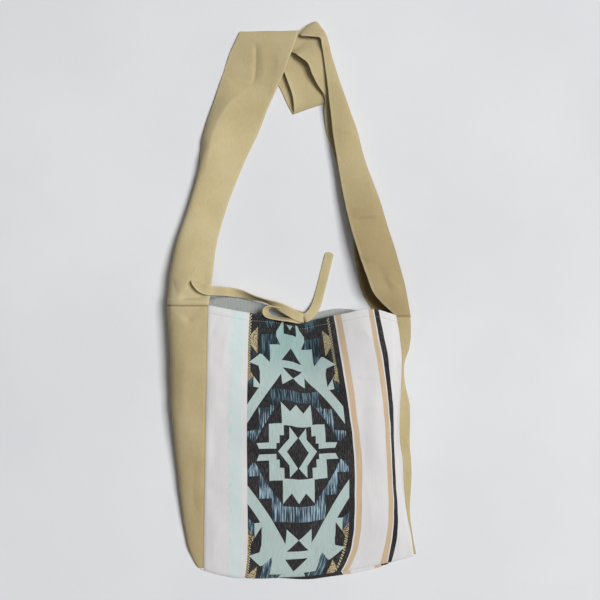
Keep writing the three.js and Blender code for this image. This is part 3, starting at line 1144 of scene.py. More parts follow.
@dataclass(frozen=True)
class BagForm:
    """The bag's main forms as its solids have them, in millimetres of the row frame."""

    panel_width: float = 324.0
    panel_height: float = 396.0
    panel_cloth: float = 1.6
    hem_depth: float = 9.0
    crown_lift: float = 40.0
    mouth_lift: float = 39.0
    seam_gap: float = 1.1
    seam_dip: float = 1.1
    rest_gap: float = 0.35
    gusset_cloth: float = 1.8
    gusset_foot: float = 6.0
    strap_width: float = 84.0
    strap_reach: float = 425.0
    strap_cloth: float = 2.0
    layer_gap: float = 0.6
    leg_lift: float = 26.0
    tie_width: float = 12.0
    tie_cloth: float = 1.8
    shift: Rgb = (-120.2162, -7.752, 0.0)

    LEFT_SEAM = ((0, -0.032, 1), (1, 0, 0))
    RIGHT_SEAM = (
        (0, 0.938, 0.947), (0.09, 0.924, 0.867), (0.235, 0.896, 0.734), (0.4, 0.884, 0.582),
        (0.513, 0.87, 0.481), (0.77, 0.878, 0.246), (0.9, 0.87, 0.133), (1, 0.85, 0.039),
    )
    MOUTH_EDGE = (
        (0, 0, 0), (0.207, 0.176, 0.028), (0.307, 0.261, 0.039), (0.43, 0.366, 0.056),
        (0.485, 0.412, 0.068), (0.568, 0.483, 0.054), (0.752, 0.639, 0.027),
        (0.858, 0.729, 0.015), (0.966, 0.821, 0.03), (1, 0.85, 0.039),
    )
    BOTTOM_EDGE = (
        (0, -0.032, 1), (0.1, 0.065, 1.021), (0.195, 0.157, 1.03), (0.376, 0.333, 1.027),
        (0.6, 0.55, 1.011), (0.885, 0.827, 0.97), (1, 0.938, 0.947),
    )
    BACK_MOUTH = ((0, 0), (0.21, -0.03), (0.41, -0.017), (0.63, 0.032), (0.82, 0.012), (1, 0.039))
    BODY_LIFT = ((0, 0.9), (0.2, 0.96), (0.5, 1), (0.8, 1), (0.92, 0.93), (0.97, 0.62), (1, 0.15))
    MOUTH_LIFT = (
        (0, 1), (0.1, 0.9), (0.207, 0.7), (0.307, 0.4), (0.4, 0.22), (0.485, 0.18),
        (0.568, 0.24), (0.656, 0.42), (0.752, 0.62), (0.858, 0.72), (0.94, 0.65), (1, 0.46),
    )
    GUSSET_TAPER = (
        (0, 0), (0.04, 0.134), (0.125, 0.313), (0.22, 0.444), (0.345, 0.583), (0.47, 0.698),
        (0.61, 0.805), (0.85, 0.93), (1, 1),
    )
    RIGHT_SHOW = (
        (0, 0.02), (0.16, 0.03), (0.275, 0.1), (0.43, 0.13), (0.62, 0.16), (0.77, 0.005),
        (0.87, 0.13), (0.93, 0.19), (1, 0.235),
    )
    FLAT_STATIONS = (
        (-0.065, 0.105, 0.75, -0.03, -0.15, 11.92, 0, 1.28),
        (-0.05, 0.207, 0.69, -0.06, -0.15, 6.54, 0, 1.14),
        (-0.023, 0.306, 0.62, -0.13, -0.15, 2.31, 0, 1),
        (0.015, 0.425, 0.62, -0.18, -0.15, 0.58, 0, 0.92),
        (0.047, 0.529, 0.71, -0.2, 0, 0.19, 0.2, 0.65),
        (0.084, 0.636, 0.83, -0.25, 0, 0.08, 0.5, 0.38),
        (0.115, 0.731, 0.88, -0.29, 0, 0.77, 0.85, 0.13),
        (0.146, 0.809, 0.99, -0.18, 0.23, 3.5, 1, 0),
        (0.175, 0.885, 1.05, -0.08, 1, 6, 1, 0),
        (0.2, 0.946, 1.03, -0.03, 1.31, 5.5, 1, 0),
        (0.206, 0.963, 1.03, 0, 0.65, 2.7, 1, 0),
        (0.212, 0.95, 1.03, 0, 0, 0, 1, 0),
        (0.282, 0.883, 1.04, 0.18, 0, 0, 1, 0),
        (0.331, 0.801, 0.94, 0.22, 0, 0, 1, 0),
        (0.365, 0.719, 0.84, 0.29, 0, 0, 1, 0),
        (0.375, 0.706, 0.83, 0.29, 0.8, 0.5, 1, 0),
        (0.37, 0.721, 0.77, 0.29, 1.6, 1, 1, 0.1),
        (0.36, 0.769, 0.72, 0.32, 2.2, 1, 1, 0.1),
        (0.33, 0.856, 0.73, 0.3, 2, 1, 1, 0.08),
        (0.307, 0.937, 0.66, 0.45, 1.2, 1, 1, 0),
        (0.304, 0.951, 0.65, 0.46, 1.7, 1.7, 1, 0),
    )
    ROLLED_STATIONS = (
        (0.368, 0.992, -0.6, -0.48, -0.26, -0.23, 2.3, 5),
        (0.386, 0.967, -0.6, -0.38, -0.17, -0.14, 3, 6.4),
        (0.396, 0.946, -0.54, -0.3, -0.06, -0.07, 4.2, 7.4),
        (0.409, 0.908, -0.48, -0.2, -0.09, -0.02, 5.6, 8.4),
        (0.419, 0.872, -0.39, -0.14, -0.11, -0.01, 6, 8.8),
        (0.433, 0.83, -0.39, -0.1, -0.15, -0.02, 5.6, 8.8),
        (0.451, 0.777, -0.38, -0.02, -0.2, -0.04, 4.4, 8.4),
        (0.47, 0.728, -0.35, 0.03, -0.27, -0.04, 3, 7.8),
        (0.489, 0.676, -0.44, 0.03, -0.33, -0.06, 1.8, 7.2),
        (0.511, 0.616, -0.52, 0.01, -0.41, -0.05, 0.6, 6.6),
        (0.53, 0.546, -0.5, 0.01, -0.45, -0.05, 0, 6.6),
        (0.549, 0.483, -0.5, 0.01, -0.5, -0.01, 0, 6.6),
        (0.586, 0.386, -0.5, 0, -0.6, -0.02, 0, 7.4),
        (0.615, 0.291, -0.58, 0, -0.64, -0.02, 0, 9),
        (0.645, 0.193, -0.7, 0, -0.66, 0.02, 0, 11.2),
        (0.67, 0.103, -0.75, -0.01, -0.63, 0.01, 0, 13.2),
        (0.684, 0.04, -0.74, 0, -0.57, 0.01, 0, 13.2),
    )
    MOUTH_FROM, CROWN_BEND = 0.62, 2.2
    LEFT_LEAN, LEFT_FOOT = 1.33, 0.3
    LEFT_HANDLES = ((1.04, 0.95), (0.82, 1.02))
    LEAST_UNDER, UNDER_SHARE, RIGHT_TURN = 2.0, 0.85, 0.8
    CRESTED, EVEN = (-0.06, 0.12), (1 / 3, 2 / 3)

    def edge(self, table: Sequence[Sequence[float]]) -> Curve:
        """Makes a plan edge in millimetres through a table of panel shares."""
        curve = curve_through(table)
        return lambda share: curve(share) * (self.panel_width, -self.panel_height)

    def filled(self, u: Array, v: Array, edges: Sequence[Curve]) -> Array:
        """Fills four plan edges that meet at the corners.

        Args:
            u: Shares from left to right.
            v: Shares from the bottom to the mouth.
            edges: The left, right, bottom and mouth edges.

        Returns:
            Plan points.
        """
        left, right, bottom, mouth = edges
        uu, vv = u[..., None], v[..., None]
        zero, one = np.zeros_like(u), np.ones_like(u)
        flat = left(v) * (1 - uu) + right(v) * uu + bottom(u) * (1 - vv) + mouth(u) * vv
        flat = flat - left(zero) * (1 - uu) * (1 - vv) - right(zero) * uu * (1 - vv)
        return flat - left(one) * (1 - uu) * vv - right(one) * uu * vv

    def front(self, u: Array, v: Array) -> Array:
        """Gives points of the front panel's middle surface, before the shift.

        Args:
            u: Shares from left to right.
            v: Shares from the bottom to the mouth.

        Returns:
            Points in millimetres.
        """
        tables = (self.LEFT_SEAM, self.RIGHT_SEAM, self.BOTTOM_EDGE, self.MOUTH_EDGE)
        flat = self.filled(u, v, [self.edge(table) for table in tables])
        near = smooth(v, self.MOUTH_FROM, 1)
        body = curve_through(self.BODY_LIFT)(u)[..., 0] * self.crown_lift
        mouth = curve_through(self.MOUTH_LIFT)(u)[..., 0] * self.mouth_lift
        seam = self.panel_cloth * 1.5 + self.rest_gap
        rise = (1 - np.clip(1 - v, 0, 1) ** self.CROWN_BEND) * (body * (1 - near) + mouth * near)
        return np.concatenate([flat, (seam + rise)[..., None]], -1)

    def gusset_width(self, v: Array) -> Array:
        """Gives a gusset's width at shares up from its foot."""
        taper = curve_through(self.GUSSET_TAPER)(v)[..., 0]
        return self.gusset_foot * (1 - taper) + self.strap_width * taper

    def left_section(self, v: Array) -> list[Array]:
        """Gives the left gusset's sections, standing on the floor and leaning in to the front seam.

        Args:
            v: Shares up from its foot.

        Returns:
            Four control points of each section, from the floor to the seam.
        """
        seam = self.front(np.zeros_like(v), v) - (self.seam_gap, 0, 0)
        x, y, z = seam[..., 0], seam[..., 1], seam[..., 2]
        span = np.sqrt(self.gusset_width(v) ** 2 - (self.LEFT_LEAN * z) ** 2)
        wall = np.stack([x - span, y, np.full_like(z, self.gusset_cloth * self.LEFT_FOOT)], -1)
        handles = [np.stack([x - out * span, y, up * z], -1) for out, up in self.LEFT_HANDLES]
        return [wall, *handles, seam]

    def right_section(self, v: Array) -> list[Array]:
        """Gives the right gusset's sections, turned under and lying below the front panel.

        Args:
            v: Shares up from its foot.

        Returns:
            Four control points of each section, from the back seam to the front seam.
        """
        seam = self.front(np.ones_like(v), v) + (self.seam_gap, 0, 0)
        show = curve_through(self.RIGHT_SHOW)(v)[..., 0] * self.strap_width
        floor = np.full_like(show, self.gusset_cloth / 2)
        x, y, z = seam[..., 0], seam[..., 1], seam[..., 2]
        under = np.maximum(self.gusset_width(v) - np.hypot(show, z - floor), self.LEAST_UNDER)
        back = x + show - self.UNDER_SHARE * under
        # The section passes the edge that shows at two thirds of its way.
        bend = (x + show - back / 27 - 8 * x / 27) * 1.5
        turn = self.RIGHT_TURN * z
        return [np.stack([a, y, b], -1) for a, b in ((back, floor), (bend, floor), (bend, turn), (x, z))]

    def back(self, u: Array, v: Array) -> Array:
        """Gives points of the back panel's middle surface, before the shift.

        Args:
            u: Shares from left to right.
            v: Shares from the bottom to the mouth.

        Returns:
            Points in millimetres.
        """
        inset = self.gusset_cloth / 2 + self.seam_gap
        ends = np.array([0.0, 1.0])
        left_x = self.left_section(ends)[0][:, 0] + inset
        right_x = self.right_section(ends)[0][:, 0] - self.seam_gap

        def crossing(end: int, table: Sequence[Sequence[float]]) -> Curve:
            """Makes the edge from left to right at one end of the panel.

            Args:
                end: The bottom is 0 and the mouth is 1.
                table: Depths of the edge, as panel shares.

            Returns:
                The edge in millimetres.
            """
            depth = curve_through(table)
            return lambda t: np.stack([
                left_x[end] + (right_x[end] - left_x[end]) * t,
                -depth(t)[..., -1] * self.panel_height,
            ], -1)

        edges = (
            lambda t: self.left_section(t)[0][..., :2] + (inset, 0),
            lambda t: self.right_section(t)[0][..., :2] - (self.seam_gap, 0),
            crossing(0, self.BOTTOM_EDGE),
            crossing(1, self.BACK_MOUTH),
        )
        flat = self.filled(u, v, edges)
        return np.concatenate([flat, np.full_like(flat[..., :1], self.panel_cloth / 2)], -1)

    def layer(self, number: Array | float) -> Array | float:
        """Gives the height of a strap layer's middle."""
        return self.strap_cloth / 2 + number * (self.strap_cloth + self.layer_gap)

    def strap_sections(self) -> Array:
        """Lists the strap's sections, from the left gusset to the right one.

        Returns:
            Four control points of each section.
        """
        one = np.ones(1)
        sections = [[p[0] for p in self.left_section(one)]]
        for x, y, dx, dy, back_layer, front_layer, even, crest in self.FLAT_STATIONS:
            middle = np.array([x, y]) * self.strap_reach
            half = np.array([dx, dy]) * self.strap_width / 2
            back = np.array([*(middle - half), self.layer(back_layer)])
            edge = np.array([*(middle + half), self.layer(front_layer)])
            lift = np.array([0, 0, crest * self.leg_lift])
            shares = [low + (high - low) * even for low, high in zip(self.CRESTED, self.EVEN)]
            handles = [back + (edge - back) * share + lift for share in shares]
            sections.append([back, *handles, edge])
        for x, y, bx, by, fx, fy, back_layer, front_layer in self.ROLLED_STATIONS:
            bend = np.array([x, y]) * self.strap_reach
            back = bend + np.array([bx, by]) * self.strap_width
            edge = bend + np.array([fx, fy]) * self.strap_width
            # The section passes the bend at its middle.
            handle = (bend - back / 8 - edge / 8) / 0.75
            low, high = self.layer(back_layer), self.layer(front_layer)
            pairs = ((back, low), (handle, low), (handle, high), (edge, high))
            sections.append([np.array([*flat, z]) for flat, z in pairs])
        sections.append([p[0] for p in self.right_section(one)])
        return np.array(sections)

    def strap(self, u: Array, v: Array) -> Array:
        """Gives points of the strap's middle surface, before the shift.

        Args:
            u: Shares along the strap.
            v: Shares from its back edge to its front edge.

        Returns:
            Points in millimetres.
        """
        sections = self.strap_sections()
        rails = [rail_through(sections[:, k])(u) for k in range(4)]
        points = bezier(rails, v)
        points[..., 2] = np.maximum(points[..., 2], self.layer(0))
        return points

    def placed(self, points: Array) -> Array:
        """Moves points into the row frame."""
        return points + np.array(self.shift)


@dataclass(frozen=True)
class Seam:
    """A sewn join: a groove in the cloth beside it, with painted shade darkening the cloth along it."""

    depth: float
    soil: float
    reach: float = 1.1
    soil_reach: float = 1.3

    def groove(self, away: Array) -> Array:
        """Gives the groove's depth at distances from the seam, in seam dips."""
        return self.depth * fading(away, self.reach)

    def soiling(self, away: Array) -> Array:
        """Gives how far painted shade darkens the cloth at distances from the seam."""
        # Painted shade: this darkening stands in for the shadow in the seam's groove.
        return self.soil * bell(away, self.soil_reach)


@dataclass
class ClothPiece:
    """A piece of cloth that stands for one solid and rides on the bag's only body."""

    form: BagForm

    def sheet(self) -> ClothSheet:
        """Makes the piece's cloth."""
        raise NotImplementedError

    def declared(self, name: str, node: str, slot: str, materials: Sequence[Material]) -> Piece:
        """Args:
            name: The piece's name.
            node: The node it stands for.
            slot: Not used.
            materials: Its materials in slot order.

        Returns:
            The piece.
        """
        piece = self.sheet().build(name, materials)
        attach(piece, "root")
        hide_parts(node)
        return piece


@dataclass
class WovenPanel(ClothPiece):
    """A panel of the woven cloth, with the pattern cut into its faces."""

    pattern: WovenPattern = field(default_factory=WovenPattern)
    flat_size: tuple[float, float] = (0.324, 0.396)

    EDGE_NEAR = 0.01

    def laid(self, cloth: FlatCloth, points: Array, upper: Array, lower: Array, rim: Array) -> ClothSheet:
        """Lays the flat cloth on points, with its mouth edge free.

        Args:
            cloth: The flat cloth.
            points: Where its points lie, in millimetres.
            upper: Slots of the upper faces.
            lower: Slots of the lower faces.
            rim: Slots of the rim's faces.

        Returns:
            The sheet.
        """
        flat = (cloth.places - (self.pattern.axis, 0)) * self.pattern.unit
        thickness = np.full(len(points), self.form.panel_cloth)
        free = cloth.places[cloth.loop, 1] > self.pattern.high - self.EDGE_NEAR
        return ClothSheet(points, cloth.triangles, cloth.loop, flat, thickness, upper, lower, rim, free)


@dataclass
class FrontPanel(WovenPanel):
    """The woven front of the bag: crowned, hemmed at the mouth, drawn in at the knot."""

    place: PatternPlace = field(default_factory=PatternPlace)
    step: float = 1.6
    stitch_inset: float = 8.0
    knot: float = 88.0

    WRINKLES = (
        Crease(((96.5, -113.6), (115.5, -110.7), (136.0, -106.3)), 1.1, 1.8, 2.5),
        Crease(((95.1, -118.7), (112.6, -116.5), (125.8, -115.0)), -0.8, 2.0, 2.5),
        Crease(((102.4, -40.5), (114.1, -50.7), (122.8, -65.3)), 0.8, 3.0, 4.0),
        Crease(((83.4, -161.8), (103.8, -157.5), (131.6, -151.6)), 0.8, 2.5, 3.0),
        Crease(((136.0, -142.8), (149.2, -145.8), (157.9, -151.6)), -0.9, 3.0, 3.0),
        Crease(((-100.9, -18.5), (-111.2, -34.6), (-117.0, -60.9)), -1.2, 5.0, 5.0),
        Crease(((-86.3, -28.8), (-95.1, -58.0), (-99.5, -104.8)), 0.9, 7.0, 7.0),
        Crease(((153.6, -248.1), (160.9, -306.6), (165.3, -357.8)), -0.9, 5.0, 5.0),
        Crease(((103.8, -248.1), (118.5, -306.6), (118.5, -357.8)), 0.9, 8.0, 8.0),
        Crease(((-100.9, -321.3), (-112.6, -357.8), (-115.5, -387.1)), 1.0, 7.0, 7.0),
        Crease(((-33.6, -22.9), (-42.4, -43.4), (-48.3, -75.6)), -1.6, 4.0, 4.0),
        Crease(((39.5, -31.7), (48.3, -55.1), (55.6, -84.3)), -1.6, 4.0, 4.0),
        Crease(((-13.2, -31.7), (-17.6, -52.2), (-21.9, -75.6)), -1.2, 3.5, 3.5),
        Crease(((20.5, -33.1), (24.9, -55.1), (29.2, -78.5)), -1.2, 3.5, 3.5),
    )
    RIPPLES = (Ripple(3, 70, 160, 0.7), Ripple(8, 22, 45, 0.12))
    CALM_EDGE = 14.0
    PLEAT_HEIGHT, PLEAT_WAVE, PLEAT_ACROSS, PLEAT_DOWN = 1.5, 5.2, 34.0, 32.0
    PUCKER_HEIGHT, PUCKER_WAVE, PUCKER_REACH = 0.16, 1.45, 3.5
    HEM_HEIGHT, HEM_ABOVE, HEM_BELOW = 0.45, 2.2, 0.6
    GROOVE_DEPTH, GROOVE_REACH = 0.4, 1.3
    LEFT_DIP, RIGHT_DIP, SIDE_REACH = 1.2, 0.3, 1.6
    FOOT_DIP, FOOT_REACH = 0.8, 1.8
    # Painted shade round the knot, below the mouth.
    HANDLED, HANDLED_REACH, HANDLED_FROM, HANDLED_TO = 0.62, 62.0, 35.0, 105.0
    RIM_INSET = 0.3
    ROUTE_INSET, ROUTE_LIFT, ROUTE_STEP = 1.5, 0.1, 0.004

    def unevenness(self, places: Array) -> Array:
        """Gives how far the cloth stands off its main form.

        Args:
            places: Places of c and d on the cloth.

        Returns:
            Heights in millimetres.
        """
        x, y = (places * self.pattern.unit).T
        wide = self.pattern.width * self.pattern.unit
        side = np.minimum(x, wide - x)
        low = (places[:, 1] - self.pattern.low) * self.pattern.unit
        below = (self.pattern.high - places[:, 1]) * self.pattern.unit
        off = x - self.knot * self.pattern.unit
        seam = below - self.stitch_inset
        height = sum(ripple.at(x, y) for ripple in self.RIPPLES)
        height = height * smooth(side, 0, self.CALM_EDGE) * smooth(low, 0, self.CALM_EDGE)
        pleat = np.sin(off / self.PLEAT_WAVE) * bell(off, self.PLEAT_ACROSS)
        pleat = pleat * fading(below, self.PLEAT_DOWN)
        pucker = np.sin(x / self.PUCKER_WAVE) * bell(seam, self.PUCKER_REACH)
        depth = self.form.hem_depth
        hem = 1 - smooth(below, depth - self.HEM_ABOVE, depth + self.HEM_BELOW)
        height = height + self.PLEAT_HEIGHT * pleat + self.PUCKER_HEIGHT * pucker + self.HEM_HEIGHT * hem
        height = height - self.GROOVE_DEPTH * bell(seam, self.GROOVE_REACH)
        dip = np.where(x < side + 1, self.LEFT_DIP, self.RIGHT_DIP)
        return height - dip * fading(side, self.SIDE_REACH) - self.FOOT_DIP * fading(low, self.FOOT_REACH)

    def handling(self, places: Array) -> Array:
        """Gives how much painted shade darkens the cloth round the knot at its places.

        Args:
            places: Places of c and d on the cloth.

        Returns:
            Shares of painted shade.
        """
        below = (self.pattern.high - places[:, 1]) * self.pattern.unit
        near = bell((places[:, 0] - self.knot) * self.pattern.unit, self.HANDLED_REACH)
        return self.HANDLED * near * (1 - smooth(below, self.HANDLED_FROM, self.HANDLED_TO))

    def sheet(self) -> ClothSheet:
        """Makes the panel's cloth.

        Returns:
            The sheet.
        """
        pattern = self.pattern
        cloth = pattern.mesh(self.step)
        u, v = self.place.at(cloth.places)
        points = self.form.placed(self.form.front(u, v))
        slots = pattern.yarns_at(cloth.middles)
        edge = cloth.places[cloth.loop]
        edge = edge * 0.5 + np.roll(edge, -1, axis=0) * 0.5
        first = np.array([0, pattern.low]) + self.RIM_INSET
        last = np.array([pattern.width, pattern.high]) - self.RIM_INSET
        rim = pattern.yarns_at(np.clip(edge, first, last))
        sheet = self.laid(cloth, points, slots, slots, rim)
        # The tone is painted shade round the knot.
        sheet.tone = self.handling(cloth.places)
        lift = self.unevenness(cloth.places) + creased(self.WRINKLES, points[:, 0], points[:, 1])
        sheet.points = points + sheet.normals() * lift[:, None]
        return sheet

    def hem_route(self, count: int = 260) -> Array:
        """Gives the line of the hem's stitches, just above the cloth.

        Args:
            count: Number of points on it.

        Returns:
            Points in millimetres of the row frame.
        """
        c = np.linspace(self.ROUTE_INSET, self.pattern.width - self.ROUTE_INSET, count)
        d = np.full(count, self.pattern.high - self.stitch_inset / self.pattern.unit)
        places = np.stack([c, d], -1)
        u, v = self.place.at(places)
        points = self.form.placed(self.form.front(u, v))
        lift = self.unevenness(places) + self.form.panel_cloth / 2 + self.ROUTE_LIFT
        nearby = self.form.placed(self.form.front(u, v - self.ROUTE_STEP))
        facing = normalised(np.cross(np.gradient(points, axis=0), points - nearby))
        return points + facing * lift[:, None]

    def build(self, shelf: FinishShelf) -> Piece:
        return self.declared("front_cloth", "front_panel", "woven_front", shelf.yarns())


@dataclass
class BackPanel(WovenPanel):
    """The woven back of the bag, lying on the floor, its pattern on the outside."""

    step: float = 2.6
    lip: float = 5.6
    lip_shift: float = 4.0
    lip_rise: tuple[float, float] = (0.3, 0.55)
    lip_fall: tuple[float, float] = (0.06, 0.2)

    def sheet(self) -> ClothSheet:
        """Makes the panel's cloth, with a lip that shows below the front.

        Returns:
            The sheet.
        """
        pattern = self.pattern
        cloth = pattern.mesh(self.step)
        u = cloth.places[:, 0] / pattern.width
        v = (cloth.places[:, 1] - pattern.low) / (pattern.high - pattern.low)
        points = self.form.placed(self.form.back(u, v))
        lip = smooth(u, *self.lip_rise) * smooth(1 - u, *self.lip_fall)
        points[:, 1] -= self.lip * np.where(v < pattern.MERGE_NEAR, lip, 0)
        middles, edge = cloth.middles, cloth.places[cloth.loop]
        turned, rim = (pattern.stripes_at(spots[:, 0] + self.lip_shift) for spots in (middles, edge))
        # The inside of the back panel takes the grey reverse yarn, painted shade inside the mouth.
        inner = np.where(middles[:, 1] < pattern.low + self.step, turned, Yarn.REVERSE.value)
        rim = np.where(edge[:, 1] < pattern.low + self.EDGE_NEAR, rim, Yarn.GROUND.value)
        return self.laid(cloth, points, inner, pattern.yarns_at(middles), rim)

    def build(self, shelf: FinishShelf) -> Piece:
        return self.declared("back_cloth", "back_panel", "woven_back", shelf.yarns())


class Side(Enum):
    """The bag's two sides."""

    LEFT = "left"
    RIGHT = "right"


@dataclass
class Gusset(ClothPiece):
    """A canvas side strip between the panels, tapering to the bottom corner."""

    side: Side
    rows: int = 190
    cols: int = 64
    foot: float = 0.01
    flat_size: tuple[float, float] = (0.084, 0.4)
    flat_area: float = 0.0238

    SEAM_CREASES = (
        Crease(
            ((-181.1, -9.7), (-159.2, -10.5), (-140.2, -11.2), (-124.1, -11.9)), 1.6, 5.0, 7.0, 0.12, 1.5
        ),
        Crease(
            ((-122.7, -9.7), (-132.9, -15.6), (-144.6, -22.9), (-156.3, -34.6)), -4.6, 5.0, 10.0, 0.25, 2.0
        ),
        Crease(((-124.1, -20.0), (-130.0, -34.6), (-132.9, -57.9)), -2.0, 6.0, 6.0, 0.3, 2.0),
        Crease(((-150.4, -65.2), (-157.7, -123.7), (-153.4, -189.4)), 2.4, 14.0, 14.0, 0.3, 3.0),
        Crease(((-138.8, -218.6), (-144.6, -277.0), (-140.2, -335.5)), -2.0, 7.0, 9.0, 0.3, 3.0),
    )
    RIPPLES = {Side.LEFT: Ripple(21, 40, 110, 0.5), Side.RIGHT: Ripple(34, 40, 110, 0.5)}
    JOINS = {Side.LEFT: Seam(1.9, 0.75), Side.RIGHT: Seam(0.6, 0.375)}
    FRONT_SEAM = Seam(1.0, 0.5, 1.3, 1.2)
    JOIN_ROWS, JOIN_FROM, JOIN_NEXT = 10, 0.985, 0.9865
    AGE_LEFT, AGE_LEFT_FOOT = 0.06, 0.33
    AGE_RIGHT, AGE_RIGHT_TOP, AGE_RIGHT_FROM = 0.18, 0.24, 0.75
    JOIN_PULL = 4.0

    def age(self, v: Array) -> Array:
        """Gives how much darker the canvas is at shares up from the foot.

        Args:
            v: Shares up from its foot.

        Returns:
            Shares of darkening.
        """
        if self.side is Side.LEFT:
            return self.AGE_LEFT + self.AGE_LEFT_FOOT * (1 - v)
        return self.AGE_RIGHT + self.AGE_RIGHT_TOP * smooth(v, self.AGE_RIGHT_FROM, 1)

    def sheet(self) -> ClothSheet:
        """Makes the gusset's cloth.

        Returns:
            The sheet.
        """
        main = np.linspace(self.foot, self.JOIN_FROM, self.rows)
        join = np.linspace(self.JOIN_NEXT, 1, self.JOIN_ROWS)
        v, t = np.meshgrid(np.concatenate([main, join]), np.linspace(0, 1, self.cols), indexing="ij")
        left = self.side is Side.LEFT
        sections = self.form.left_section(v) if left else self.form.right_section(v)
        points = self.form.placed(bezier(sections, t))
        sheet = ClothSheet.grid(points, self.form.gusset_cloth)
        sheet.free = np.zeros(len(sheet.loop), bool)
        x, y = sheet.flat.T
        to_strap = y.max() - y
        seams = [(self.JOINS[self.side], to_strap)]
        lift = self.RIPPLES[self.side].at(x, y)
        if left:
            lift = lift + creased(self.SEAM_CREASES, sheet.points[:, 0], sheet.points[:, 1])
            seams.append((self.FRONT_SEAM, x.reshape(v.shape)[:, -1:].repeat(self.cols, 1).ravel() - x))
        calm = (np.sin(np.clip(t, 0, 1) * math.pi) ** 0.5).ravel()
        sunk = self.form.seam_dip * sum(seam.groove(away) for seam, away in seams)
        # Painted shade along the seams, added to the darkening in the tone.
        soil = sum(seam.soiling(away) for seam, away in seams)
        sheet.tone = np.clip(self.age(v).ravel() + soil, 0, 1)
        sheet.points = sheet.points - sheet.normals() * (lift * calm - sunk)[:, None]
        sheet.points[:, 1] -= self.form.seam_gap / 2 * fading(to_strap, self.JOIN_PULL)
        return sheet

    def build(self, shelf: FinishShelf) -> Piece:
        side = self.side.value
        return self.declared(f"{side}_side_cloth", f"{side}_gusset", "canvas", shelf.canvas())


